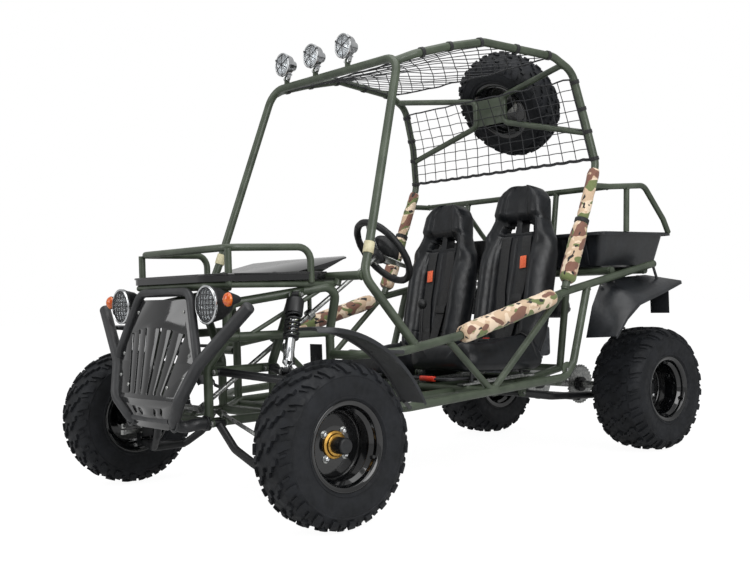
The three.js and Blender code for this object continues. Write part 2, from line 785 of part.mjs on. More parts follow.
function rearFrameSide() {
  const top = point(rearFrame.x, rearFrame.lowY, boxFloorTubeZ);
  return join(
    pipe([
      point(engineRailHalf, engineEnd.y, engineEnd.z), point(rearFrame.x, rearFrame.lowY, rearFrame.lowZ),
      top, point(rearFrame.x, rearFrame.highY, boxFloorTubeZ),
    ], mainTube, 0),
    clevis(place(rearShockTop), rearShockAxis, shockEye.length,
      point(rearShockTop.x, rearShockTop.y, boxFloorTubeZ)),
  );
}

// The swing arm pivots between two hangers under the floor rails.
function swingHanger() {
  const width = floorRailHalf - mainTube / 2 - swingPivot.x;
  const middle = swingPivot.x + width / 2;
  const axis = point(1, 0, 0);
  const low = disc(point(middle, swingPivot.y, swingPivot.z), axis, swingTube, width, tubeSides);
  const web = block(
    point(middle, swingPivot.y, (swingPivot.z + floorEnd.z) / 2),
    point(width, 2 * swingTube, floorEnd.z - swingPivot.z),
  );
  const pin = rod(
    point(swingPivot.x - bushing.length, swingPivot.y, swingPivot.z),
    point(middle, swingPivot.y, swingPivot.z),
    pinRadius,
  );
  return join(low, web, pin);
}

function pedalClevis(x) {
  return clevis(point(x, pedalY, pedalPivotZ), point(1, 0, 0), shockEye.length, point(x, pedalY, railZ + midTube));
}

function chassis() {
  const sillFace = sideHalf - mainTube - seatGap;
  const rackPipe = rod(
    point(rackBar.housingFrom, rackBar.y, rackBar.z), point(rackBar.housingTo, rackBar.y, rackBar.z),
    rackBar.housing,
  );
  const rackStays = withTwin(rod(
    point(rackBar.housingTo / 2, -postY, railZ), point(rackBar.housingTo / 2, rackBar.y, rackBar.z), braceTube,
  ));
  const ring = disc(bearingAt, shaftWay, bearingRing.radius, bearingRing.width);
  const hanger = rod(bearingAt, point(bearingAt.x, cageKnee.y, dashTubeZ), braceTube);
  const whole = join(
    withTwin(join(noseSide(), rearFrameSide(), swingHanger())),
    acrossTube(noseRailHalf, -postY, railZ),
    acrossTube(noseRailHalf, postY, railZ),
    acrossTube(noseRailHalf, -postY, upperPivotZ, midTube),
    acrossTube(topRailFront.x, topRailFront.y, topRailFront.z, midTube),
    acrossTube(cageKnee.x, cageKnee.y, dashTubeZ),
    acrossTube(noseRailHalf + floorRailHalf / 3, pedalY, railZ + sheetWall, midTube),
    ...crossMembers.map((y) => acrossTube(sillFace, y, floorHeight(y) + crossMemberLift)),
    acrossTube(engineRailHalf, engineEnd.y, engineEnd.z),
    acrossTube(floorRailHalf - mainTube, engineBlock.front, floorEnd.z + sheetWall),
    ...rearCrossY.map((y) => acrossTube(sillFace, y, boxFloorTubeZ)),
    floorPan(),
    ...seatRailPair(seatHalf),
    ...seatRailPair(-seatHalf),
    hoodRail(),
    hoodRack(),
    rackPipe,
    rackStays,
    ring,
    hanger,
    pedalClevis(brakeX),
    pedalClevis(throttleX),
    clevis(point(0, leverPivot.y, leverPivot.z), point(1, 0, 0), shockEye.length / 2,
      point(0, leverPivot.y, floorHeight(leverPivot.y) - floorDrop)),
  );
  return cut(
    whole,
    disc(bearingAt, shaftWay, (steerShaft + runGap) / Math.cos(Math.PI / tubeSides), bearingRing.width + overrun, tubeSides),
    disc(point(0, rackBar.y, rackBar.z), point(1, 0, 0), rackBar.radius + 2 * runGap, 2 * rackBar.half, tubeSides),
    hoopCutter,
  );
}

addPart('chassis_frame', 'olive', chassis());

// Hood with its dash cowl

function hoodOutline(inset) {
  const side = [
    [hoodFront.x - inset / 2, hoodFront.y + inset], [hoodCorner.x - inset, hoodCorner.y + inset / 2],
    [hoodRear.x - inset, hoodRear.y - inset],
  ];
  return [...side, ...side.map(([x, y]) => [-x, y]).reverse()];
}

function hoodPanel() {
  const outer = sheet(hoodOutline(0), hoodDeep, aimed(point(0, 0, hoodTopZ - hoodDeep), point(0, 0, 1)));
  const inner = sheet(hoodOutline(sheetWall), hoodDeep, aimed(point(0, 0, hoodTopZ - hoodDeep - sheetWall), point(0, 0, 1)));
  const corners = [];
  for (const drop of [0, sheetWall]) {
    for (const side of [-1, 1]) {
      corners.push(
        point(side * cowlFront.x, cowlFront.y, hoodTopZ - drop),
        point(side * cowlRear.x, cowlRear.y, cowlRear.z - drop),
        point(side * cowlLip.x, cowlLip.y, cowlLip.z - drop),
      );
    }
  }
  const cheek = (side) => {
    const points = [];
    for (const x of [cowlRear.x - sheetWall, cowlRear.x]) {
      points.push(
        point(side * x, cowlFront.y, hoodTopZ - sheetWall), point(side * x, cowlRear.y, cowlRear.z - sheetWall / 2),
        point(side * x, hoodRear.y - sheetWall, hoodTopZ - sheetWall),
      );
    }
    return hull(points);
  };
  const bossFoot = hoodRailZ + hoodRailRadius + seatGap;
  const bosses = [-1, 1].map((side) => rod(
    point(side * hoodFront.x * discShare, hoodRailFrontY, bossFoot),
    point(side * hoodFront.x * discShare, hoodRailFrontY, hoodTopZ - sheetWall / 2),
    hoodRailRadius / 2,
  ));
  const shell = cut(outer, inner);
  const postHoles = withTwin(join(
    rod(point(hoodRackFront.x, hoodRackFront.y, hoodRailZ), point(hoodRackFront.x, hoodRackFront.y, hoodRackZ), rackTube + 3 * runGap),
    rod(point(hoodRackRear.x, hoodRackRear.y, hoodRailZ), point(hoodRackRear.x, hoodRackRear.y, hoodRackZ), rackTube + 6 * runGap),
  ));
  return cut(join(shell, hull(corners), cheek(-1), cheek(1), ...bosses), postHoles);
}

addPart('hood_panel', 'gloss', hoodPanel());

// Cargo box: open on top, tapered, with a flat lip round the rim

function cargoBox() {
  const shell = (inset, rise) => {
    const { x, front, rear, z, lip } = cargoRim;
    const corners = [];
    for (const side of [-1, 1]) {
      corners.push(
        point(side * (x - lip - inset), front + lip + inset, z + rise), point(side * (x - lip - inset), rear - lip - inset, z + rise),
        point(side * (cargoFloor.x - inset), cargoFloor.front + inset, cargoFloor.z + inset),
        point(side * (cargoFloor.x - inset), cargoFloor.rear - inset, cargoFloor.z + inset),
      );
    }
    return hull(corners);
  };
  const lip = block(
    point(0, (cargoRim.front + cargoRim.rear) / 2, cargoRim.z - sheetWall / 2),
    point(2 * cargoRim.x, cargoRim.rear - cargoRim.front, sheetWall),
  );
  return cut(join(shell(0, 0), lip), shell(sheetWall, overrun));
}

addPart('cargo_box', 'black', cargoBox());

// Fenders

function arcPoints(centre, radius, from, to, steps) {
  return Array.from({ length: steps + 1 }, (_, i) => {
    const angle = from + (to - from) * i / steps;
    return [centre.y + radius * Math.cos(angle), centre.z + radius * Math.sin(angle)];
  });
}

const alongX = (x) => new THREE.Matrix4().makeBasis(point(0, 1, 0), point(0, 0, 1), point(1, 0, 0)).setPosition(x, 0, 0);

function frontFenderSolid() {
  const { inner, outer, centre, radius, from, to, steps, stayY, tabZ } = frontFender;
  const outline = [
    ...arcPoints(centre, radius, from, to, steps),
    ...arcPoints(centre, radius - fenderWall, to, from, steps),
  ];
  const skin = sheet(outline, outer - inner, alongX(inner));
  const angle = Math.acos((stayY - centre.y) / radius);
  const stayHigh = point(inner + mainTube, stayY, centre.z + (radius - fenderWall) * Math.sin(angle));
  const stay = rod(stayHigh, barAt(sideBarFront.y), thinTube);
  const lowest = point(inner + mainTube, centre.y + (radius - fenderWall / 2) * Math.cos(to), centre.z + (radius - fenderWall / 2) * Math.sin(to));
  const tab = rod(lowest, point(sideHalf, sillFront.y + tabZ, sillFront.z), thinTube);
  return cut(join(skin, stay, tab), sideBarCutter, sillCutter);
}

addPair('front_fender', 'gloss', frontFenderSolid());

function rearFenderSolid() {
  const { inner, outer, stations, stays } = rearFender;
  const edge = stations.map((station) => [
    point(inner, station.innerY, station.innerZ), point(outer, station.outerY, station.outerZ),
  ]);
  const strips = [];
  for (let i = 0; i < edge.length - 1; i += 1) {
    const corners = [...edge[i], ...edge[i + 1]];
    strips.push(hull([...corners, ...corners.map((corner) => corner.clone().setZ(corner.z - fenderWall))]));
  }
  const posts = stays.map((y) => {
    const high = barAt(y);
    return rod(high, point(high.x, y, high.z - rearFender.stayLength), thinTube);
  });
  return cut(join(...strips, ...posts), sideBarCutter);
}

addPair('rear_fender', 'gloss', rearFenderSolid());

// Bull bar and the folded grille plate between its tubes

function bullBarTubes(grow) {
  const hoop = [place(wingMid), place(hoopLow), place(hoopHigh)];
  const wing = pipe([
    place(wingTip), place(wingMid), place(wingLow), place(wingBase),
    point(noseRailHalf, -noseHalfLength - 2 * wingTube, railZ), point(noseRailHalf, -noseHalfLength - seatGap, railZ),
  ], wingTube + grow);
  return join(pipe([...hoop, ...hoop.map(flipped).reverse()], hoopTube + grow), withTwin(wing));
}

addPart('bull_bar', 'black', bullBarTubes(0));

function grillePlate() {
  const { slots, slotShares, slotHigh: tall, slotWide } = grille;
  const ridge = [point(0, ridgeHigh.y, ridgeHigh.z), point(0, ridgeMid.y, wingMid.z), point(0, ridgeLow.y, wingLow.z)];
  const edge = [place(hoopHigh).setZ(ridgeHigh.z), place(wingMid), place(wingLow)];
  const faces = [];
  for (const side of [-1, 1]) {
    for (let i = 0; i < 2; i += 1) {
      const corners = [ridge[i], ridge[i + 1], edge[i], edge[i + 1]].map((corner) => point(side * corner.x, corner.y, corner.z));
      faces.push(hull([...corners, ...corners.map((corner) => corner.clone().setY(corner.y + sheetWall))]));
    }
  }
  const skidCorners = [edge[2], flipped(edge[2]), place(wingBase), flipped(wingBase)];
  const skid = hull([...skidCorners, ...skidCorners.map((corner) => corner.clone().setY(corner.y + sheetWall))]);
  const windows = [];
  for (let i = 0; i < slots; i += 1) {
    const z = ridge[1].z + (ridge[0].z - ridge[1].z) * slotShares[i];
    windows.push(block(point(slotWide / 2 + 2 * overrun, ridgeMid.y, z), point(slotWide, 8 * overrun + sheetWall, tall)));
  }
  const skidHoles = [0.3, 0.7].map((share) => {
    const middle = between(place(wingLow), place(wingBase), share);
    return block(point(middle.x / 3, middle.y, middle.z), point(middle.x / 3, 8 * overrun, tall));
  });
  return cut(join(...faces, skid), bullBarTubes(seatGap), ...windows.map(withTwin), ...skidHoles.map(withTwin));
}

addPart('grille_plate', 'gloss', grillePlate());

// Lamps

function headlampSolid() {
  const { x, y, z, radius, deep, neck } = headlamp;
  const bowl = turned([
    [0, -deep], [neck, -deep], [radius * 0.72, -deep * 0.62], [radius, -deep * 0.2],
    [radius, 0], [0, radius * 0.2],
  ], aimed(point(x, y, z), point(0, -1, 0)));
  const back = point(x, y + deep - neck / 2, z);
  const stem = cut(pipe([back, point(x, topRailFront.y, z), point(topRailFront.x + mainTube / 2, topRailFront.y, topRailFront.z)], braceTube, 0), nosePostCutter);
  const lamp = turned([
    [0, -signal.deep], [signal.radius * 0.6, -signal.deep], [signal.radius, -signal.deep * 0.4],
    [signal.radius, 0], [signal.radius * 0.7, signal.radius * 0.3], [0, signal.radius * 0.4],
  ], aimed(place(signal), point(0, -1, 0)), tubeSides);
  const stalkY = signal.y + signal.deep / 2;
  const stalk = rod(point(x, stalkY, z), point(signal.x, stalkY, signal.z), thinTube);
  return join(bowl, stem, lamp, stalk);
}

addPair('headlamp', 'chrome', headlampSolid());

function roofLampSolid(x) {
  const { radius, deep, z, faceY, pivotZ } = roofLamp;
  const bowl = turned([
    [0, -deep], [radius * 0.45, -deep], [radius * 0.85, -deep * 0.6], [radius, 0], [0, radius * 0.14],
  ], aimed(point(x, faceY, z), point(0, -1, 0)));
  const footZ = z - radius + overrun;
  const fork = clevis(lampLugAt(x), point(1, 0, 0), lampFork.lug, point(x, faceY + deep / 2, footZ), lampFork.radius);
  return join(bowl, fork);
}

roofLampPlaces.forEach((x, i) => addPart(`roof_lamp_${i + 1}`, 'chrome', roofLampSolid(x)));

// Front suspension, left side

const axisY = point(0, 1, 0);
const lowerPivot = (side) => point(armPivotX, side * lowerPivotY, lowerPivotZ);
const upperPivot = (side) => point(armPivotX, side * upperPivotY, upperPivotZ);
const lowerBall = point(kingpinX, 0, lowerBallZ);
const upperBall = point(kingpinX, 0, upperBallZ);
const sleeveOf = (centre) => disc(centre, axisY, bushing.radius, bushing.length, tubeSides);
const boreOf = (centre) => eyeBore(centre, axisY, bushing.length);

function lowerArm() {
  const legs = [-1, 1].map((side) => pipe([
    lowerPivot(side), point(lowerBendA.x, side * lowerBendA.y, lowerBendA.z),
    point(lowerBendB.x, side * lowerBendB.y, lowerBendB.z), lowerBall,
  ], armTube, tubeBend));
  const ends = [lowerPivot(-1), lowerPivot(1), lowerBall];
  const tie = rod(point(lowerBendB.x, -lowerBendB.y, lowerBendB.z), point(lowerBendB.x, lowerBendB.y, lowerBendB.z), armTube);
  const whole = join(...legs, tie, ...ends.map(sleeveOf));
  return cut(whole, ...ends.map(boreOf));
}

function upperArm() {
  const legs = [-1, 1].map((side) => pipe([upperPivot(side), upperBall], armTube, 0));
  const ends = [upperPivot(-1), upperPivot(1), upperBall];
  const share = (shockFoot.x - armPivotX) / (kingpinX - armPivotX);
  const across = [-1, 1].map((side) => between(upperPivot(side), upperBall, share));
  const drop = armTube / 2;
  const bar = rod(across[0].clone().setZ(across[0].z - drop), across[1].clone().setZ(across[1].z - drop), armTube - 2);
  const mount = clevis(place(shockFoot), shockAxis, shockEye.length, point(shockFoot.x, shockFoot.y, across[0].z - drop));
  const whole = cut(
    join(...legs, bar, ...ends.map(sleeveOf)),
    boreOf(ends[0]), boreOf(ends[1]), eyeBore(upperBall, axisY, bushing.length, boreRadius + 2 * runGap),
    shockWell(),
  );
  return join(whole, mount);
}

// Room for the shock's lower eye between the lugs.
function shockWell() {
  return disc(place(shockFoot), shockAxis, shockEye.radius + openPivotGap, shockEye.length + 2 * runGap, tubeSides);
}

addPair('lower_arm', 'black', lowerArm());
addPair('upper_arm', 'black', upperArm());

function uprightSolid() {
  const { x, wall, half, low, high, ear, reach } = bracket;
  const ears = [low + ear / 2, high - ear / 2].map((z) => block(
    point((x + reach) / 2, 0, z), point(reach - x, 2 * half, ear),
  ));
  const back = block(point(x + wall / 2, 0, (low + high) / 2), point(wall, 2 * half, high - low));
  const lugs = [
    clevis(lowerBall, axisY, bushing.length, point(kingpinX, 0, low + ear / 2)),
    clevis(upperBall, axisY, bushing.length, point(kingpinX, 0, high - ear / 2)),
  ];
  const shelf = [low + ear / 2, high - ear / 2].map((z) => block(
    point(kingpinX, 0, z), point(2 * bushing.radius, bushing.length + 2 * runGap + 2 * earWall, ear),
  ));
  const pin = rod(point(kingpinX, 0, low + ear / 2), point(kingpinX, 0, high - ear / 2), kingpin.radius);
  return join(back, ...ears, ...lugs, ...shelf, pin);
}

addPair('upright', 'black', uprightSolid());

function spindleSolid() {
  const low = bracket.low + bracket.ear + runGap;
  const high = bracket.high - bracket.ear - runGap;
  const barrel = rod(point(kingpinX, 0, low), point(kingpinX, 0, high), kingpin.barrel);
  const bore = rod(point(kingpinX, 0, low - overrun), point(kingpinX, 0, high + overrun), (kingpin.radius + runGap) / Math.cos(Math.PI / tubeSides));
  const hubFace = frontWheelAt.x - frontHubDeep - runGap;
  const end = frontWheelAt.x + (frontTyre.width / 2 - 2 * flangeWidth) * discShare + frontHubDeep - rimWall - runGap;
  const shaft = rod(point(kingpinX, 0, stub.z), point(end, 0, stub.z), stub.radius, tubeSides);
  const collar = rod(point(kingpinX + kingpin.barrel / 2, 0, stub.z), point(hubFace, 0, stub.z), stub.radius * 1.5, roundSides);
  const armEnd = place(trackArm);
  const arm = rod(point(kingpinX, 0, trackArm.z), armEnd, trackArm.radius);
  const eye = disc(armEnd, point(0, 0, 1), trackArm.radius * 1.3, 2 * trackArm.radius, tubeSides);
  return cut(join(barrel, shaft, collar, arm, eye), bore);
}

addPair('spindle', 'steel', spindleSolid());

// Spring-over shock absorber between two eyes; the upper part carries the rod, the lower one slides on it.
// A helical tube of one wire with straight ends.
function helix(frame, size, length) {
  const { radius, wire, curls } = size;
  const stepsPerCurl = 7;
  const rise = length - 4 * wire - 2 * seatGap;
  const points = [];
  for (let i = 0; i <= curls * stepsPerCurl; i += 1) {
    const angle = i * 2 * Math.PI / stepsPerCurl;
    const height = seatGap + 2 * wire + rise * i / (curls * stepsPerCurl);
    points.push(point(radius * Math.cos(angle), radius * Math.sin(angle), height));
  }
  const start = points[0].clone().setZ(seatGap);
  const end = points[points.length - 1].clone().setZ(length - seatGap);
  console.log('least gap between curls', (rise / curls - 2 * wire).toFixed(2));
  return moved(pipe([start, ...points, end], wire, 0, 4), frame);
}

function shockParts(top, foot, axis, sizes) {
  const way = foot.clone().sub(top).normalize();
  const total = top.distanceTo(foot);
  const down = aimed(top, way, axis);
  const eye = (centre, radius) => cut(
    disc(centre, axis, shockEye.radius, shockEye.length, tubeSides),
    eyeBore(centre, axis, shockEye.length, radius),
  );
  const { capRadius, capLength, shoulder, tubeRadius, tubeLength, tubeBase, springRadius, cup } = sizes;
  const neck = shockEye.radius - 1;
  const neckEnd = bushing.radius + openPivotGap;
  const capTop = neckEnd;
  const seatLow = total - neckEnd - tubeBase - tubeLength;
  const capWall = cup ? springRadius + 2 * runGap : shockRod;
  const cap = turned([
    [0, 0], [neck, 0], [neck, capTop], [capRadius, capTop + shoulder],
    [capRadius, capTop + capLength], [capWall, capTop + capLength], [capWall, capTop + capLength - cup],
    [shockRod, capTop + capLength - cup], [shockRod, seatLow + tubeLength / 2], [0, seatLow + tubeLength / 2],
  ].filter((pair, i, all) => i === 0 || pair[0] !== all[i - 1][0] || pair[1] !== all[i - 1][1]), down, tubeSides);
  const rodBore = (shockRod + runGap) / Math.cos(Math.PI / tubeSides);
  const tubeEnd = total - neckEnd;
  const tube = turned([
    [rodBore, seatLow], [springRadius, seatLow], [springRadius, seatLow + tubeRadius / 2],
    [tubeRadius, seatLow + tubeRadius / 2], [tubeRadius, tubeEnd], [neck, tubeEnd], [neck, total], [0, total],
    [0, tubeEnd - tubeBase], [rodBore, tubeEnd - tubeBase], [rodBore, seatLow],
  ], down, tubeSides);
  const springTop = capTop + capLength - cup + sizes.play;
  const springFrame = down.clone().multiply(new THREE.Matrix4().makeTranslation(0, 0, springTop));
  return {
    upper: join(cut(cap, eyeBore(top, axis, shockEye.length)), eye(top, boreRadius)),
    lower: cut(
      join(tube, disc(foot, axis, shockEye.radius, sizes.footEye, tubeSides)),
      eyeBore(foot, axis, shockEye.length, boreRadius + sizes.footPlay),
    ),
    spring: sizes.coil && helix(springFrame, sizes.coil, seatLow - springTop),
  };
}

const frontShock = shockParts(place(shockTop), place(shockFoot), shockAxis, {
  capRadius: shockCap.radius, capLength: shockCap.length, shoulder: shockEye.radius, tubeRadius: shockTube.radius,
  tubeLength: shockTube.length, tubeBase: shockEye.radius, springRadius: coil.radius + coil.wire,
  footEye: shockEye.length - openPivotGap, coil, footPlay: openPivotGap / 2, cup: 0, play: 0,
});
addPair('front_shock_rod', 'black', frontShock.upper);
addPair('front_shock_tube', 'chrome', frontShock.lower);
addPair('front_spring', 'black', frontShock.spring);

const rearShock = shockParts(place(rearShockTop), place(rearShockFoot), rearShockAxis, {
  capRadius: rearCoil.radius + rearCoil.wire + sheetWall, capLength: rearCup.length + sheetWall, shoulder: seatGap,
  tubeRadius: shockTube.radius, tubeLength: shockTube.length, tubeBase: shockEye.radius,
  springRadius: rearCoil.radius + rearCoil.wire, footEye: shockEye.length, coil: null, footPlay: openPivotGap / 2,
  cup: rearCup.length, play: rearCup.play,
});
addPair('rear_shock_rod', 'steel', rearShock.upper);
addPair('rear_shock_tube', 'steel', rearShock.lower);

// Steering: rack, tie rods, column and wheel

const rackEnd = point(rackBar.half, rackBar.y, rackBar.z);
const tieOuter = point(trackArm.x, trackArm.y, tieEnd.z);

function rackSolid() {
  const ends = withTwin(cut(
    disc(rackEnd, axisY, bushing.radius, earWall * 2, tubeSides),
    eyeBore(rackEnd, axisY, earWall * 2),
  ));
  const half = rackEnd.x - bushing.radius + earWall / 2;
  return join(rod(rackEnd.clone().setX(-half), rackEnd.clone().setX(half), rackBar.radius), ends);
}

function tieRod() {
  const fork = clevis(rackEnd, axisY, earWall * 2, between(rackEnd, tieOuter, bushing.radius * 2 / rackEnd.distanceTo(tieOuter)), bushing.radius * 0.8);
  const start = between(rackEnd, tieOuter, bushing.radius * 1.7 / rackEnd.distanceTo(tieOuter));
  const ball = disc(tieOuter, point(0, 0, 1), tieEnd.radius, tieEnd.radius * 2, tubeSides);
  const body = rod(start, tieOuter, tieTube);
  const yoke = disc(start, axisY, tieTube, earWall * 4 + 2 * runGap, tubeSides);
  return join(fork, body, ball, yoke);
}

addPart('rack_bar', 'steel', rackSolid());
addPair('tie_rod', 'steel', tieRod());

function steeringWheel() {
  const centre = place(wheelCentre);
  const frame = aimed(centre, shaftWay, point(1, 0, 0));
  const section = Array.from({ length: tubeSides + 1 }, (_, i) => {
    const angle = i * 2 * Math.PI / tubeSides;
    return [wheelRim.radius + wheelRim.grip * Math.cos(angle), wheelRim.grip * Math.sin(angle)];
  });
  const grip = turned(section, frame, 16);
  const hub = turned([
    [0, -wheelHub.deep / 2], [wheelHub.radius * 0.7, -wheelHub.deep / 2], [wheelHub.radius, 0],
    [wheelHub.radius * 0.9, wheelHub.deep * 0.6], [wheelHub.radius * 0.5, wheelHub.deep], [0, wheelHub.deep * 1.1],
  ], frame);
  const spokes = [0, 1, 2].map((i) => {
    const angle = Math.PI / 2 + Math.PI + (i - 1) * 2 * Math.PI / 3;
    const outer = point(wheelRim.radius * Math.cos(angle), wheelRim.radius * Math.sin(angle), 0).applyMatrix4(frame);
    const inner = point(wheelHub.radius * 0.6 * Math.cos(angle), wheelHub.radius * 0.6 * Math.sin(angle), -wheelHub.deep / 4).applyMatrix4(frame);
    return rod(inner, outer, wheelRim.grip * 0.7, 6);
  });
  const gear = disc(place(pinion), shaftWay, pinion.radius, pinion.length, roundSides);
  const shaft = rod(place(pinion), centre, steerShaft);
  return join(grip, hub, ...spokes, shaft, gear);
}

addPart('steering_wheel', 'black', steeringWheel());

// Pedals and gear lever, each on its own pin

function pedalSolid(x) {
  const pivot = point(x, pedalY, pedalPivotZ);
  const axis = point(1, 0, 0);
  const sleeve = disc(pivot, axis, shockEye.radius, shockEye.length, tubeSides);
  const padCentre = point(x, pedalPad.y, pedalPad.z);
  const arm = rod(pivot, padCentre, thinTube);
  const pad = block(padCentre, point(2 * pedalPad.half, sheetWall, pedalPad.high));
  return cut(join(sleeve, arm, pad), eyeBore(pivot, axis, shockEye.length));
}

addPart('brake_pedal', 'steel', pedalSolid(brakeX));
addPart('throttle_pedal', 'steel', pedalSolid(throttleX));

function gearLever() {
  const pivot = point(0, leverPivot.y, leverPivot.z);
  const axis = point(1, 0, 0);
  const length = shockEye.length / 2;
  const sleeve = disc(pivot, axis, shockEye.radius, length, tubeSides);
  const knobAt = point(0, leverKnob.y, leverKnob.z);
  const r = leverKnob.radius;
  const knob = turned([[0, -r], [r * 0.7, -r * 0.7], [r, 0], [r * 0.7, r * 0.7], [0, r]],
    aimed(knobAt, knobAt.clone().sub(pivot)), tubeSides);
  return cut(join(sleeve, rod(pivot, knobAt, thinTube), knob), eyeBore(pivot, axis, length));
}

addPart('gear_lever', 'black', gearLever());

// Swing arm, rear axle with its rims, sprocket and brake disc

function swingArm() {
  const pivotTube = rod(
    point(-swingPivot.x + runGap, swingPivot.y, swingPivot.z), point(swingPivot.x - runGap, swingPivot.y, swingPivot.z), swingTube,
  );
  const axleAt = point(swingRear.x, wheelbase, rearTyre.radius);
  const leg = pipe([
    point(swingPivot.x - 2.2 * swingTube, swingPivot.y, swingPivot.z), place(swingMid), place(swingRear), axleAt,
  ], swingTube);
  const housing = disc(axleAt, point(1, 0, 0), carrier.radius, carrier.width);
  const lug = clevis(place(rearShockFoot), rearShockAxis, shockEye.length, point(rearShockFoot.x, wheelbase, rearTyre.radius + carrier.radius / 2));
  const bar = rod(point(-swingRear.x, swingCrossY, swingRear.z), point(swingRear.x, swingCrossY, swingRear.z), swingTube);
  const axleBore = disc(
    point(0, wheelbase, rearTyre.radius), point(1, 0, 0),
    axle.bore / Math.cos(Math.PI / tubeSides), 2 * sideHalf, tubeSides,
  );
  const pinBores = withTwin(disc(
    point(swingPivot.x - bushing.length / 2, swingPivot.y, swingPivot.z), point(1, 0, 0), boreRadius,
    bushing.length + 2 * overrun, tubeSides,
  ));
  return cut(join(pivotTube, bar, withTwin(join(leg, housing, lug))), axleBore, pinBores);
}

addPart('swing_arm', 'black', swingArm());

function sprocketSolid() {
  const { x, radius, wall, teeth, depth } = sprocket;
  const outline = Array.from({ length: 2 * teeth }, (_, i) => {
    const reach = i % 2 ? radius : radius - depth;
    const angle = i * Math.PI / teeth;
    return [reach * Math.cos(angle), reach * Math.sin(angle)];
  });
  return sheet(outline, wall, aimed(point(x, wheelbase, rearTyre.radius), point(1, 0, 0), point(0, 0, 1)));
}

function rearAxle() {
  const axis = point(1, 0, 0);
  const centre = point(0, wheelbase, rearTyre.radius);
  const end = rearWheelAt.x + rearHubDeep;
  const shaft = rod(point(-end, centre.y, centre.z), point(end, centre.y, centre.z), axle.radius, roundSides);
  const rim = shifted(rimSolid(rearTyre.width, rearHubDeep, 0), rearWheelAt);
  const brake = disc(point(brakeDisc.x, centre.y, centre.z), axis, brakeDisc.radius, brakeDisc.wall, rimSides);
  const collars = [sprocket.x + sprocket.wall / 2, brakeDisc.x].map((x) => disc(
    point(x, centre.y, centre.z), axis, hubRadius, carrier.width,
  ));
  return join(shaft, withTwin(rim), sprocketSolid(), brake, ...collars);
}

addPart('rear_axle', 'gloss', rearAxle());

// Engine on its cradle, with fan housing, finned cylinder and exhaust

function engineSolid() {
  const { half, front, rear, low, high } = engineBlock;
  const middle = point(0, (front + rear) / 2, (low + high) / 2);
  const crankcase = block(middle, point(2 * half, rear - front, high - low));
  const head = engineHead;
  const barrel = rod(point(head.x, head.y, high - overrun), point(head.x, head.y, head.high), head.radius * 0.7, roundSides);
  const fins = Array.from({ length: head.fins }, (_, i) => {
    const z = head.low + (head.high - head.low) * (i + 1) / (head.fins + 0.5);
    return disc(point(head.x, head.y, z), point(0, 0, 1), head.radius, head.fin);
  });
  const fan = turned([
    [0, -flywheel.deep], [flywheel.radius, -flywheel.deep], [flywheel.radius, -flywheel.deep * 0.2],
    [flywheel.radius * 0.8, 0], [0, 0],
  ], aimed(point(flywheel.x, flywheel.y, flywheel.z), point(-1, 0, 0), point(0, 0, 1)));
  const feet = [
    [engineBlock.front, floorEnd.z + sheetWall], [engineEnd.y, engineEnd.z],
  ].map(([y, z]) => {
    const foot = z + mainTube * Math.cos(Math.PI / tubeSides) + seatGap;
    return block(point(0, y, (foot + low) / 2 + 1), point(1.4 * half, 2 * mainTube, low - foot + 2));
  });
  const sump = block(point(0, middle.y, low - mainTube / 2), point(1.4 * half, rear - front - mainTube, mainTube));
  const pipeStart = point(head.x, head.y + head.radius * 0.4, (head.low + head.high) / 2);
  const exhaust = pipe([
    pipeStart, point(head.x, muffler.y - muffler.radius * 1.5, pipeStart.z), point(head.x, muffler.y, muffler.z),
  ], thinTube * 2.2, 0);
  const can = turned([
    [0, -muffler.half], [muffler.radius * 0.8, -muffler.half], [muffler.radius, -muffler.half * 0.9],
    [muffler.radius, muffler.half * 0.9], [muffler.radius * 0.8, muffler.half], [0, muffler.half],
  ], aimed(point(0, muffler.y, muffler.z), point(1, 0, 0), point(0, 0, 1)));
  return join(crankcase, barrel, ...fins, fan, ...feet, sump, exhaust, can);
}

addPart('engine', 'castGrey', engineSolid());

// Bucket seats: rows run from the cushion's front edge to the hip and up the back, columns run across

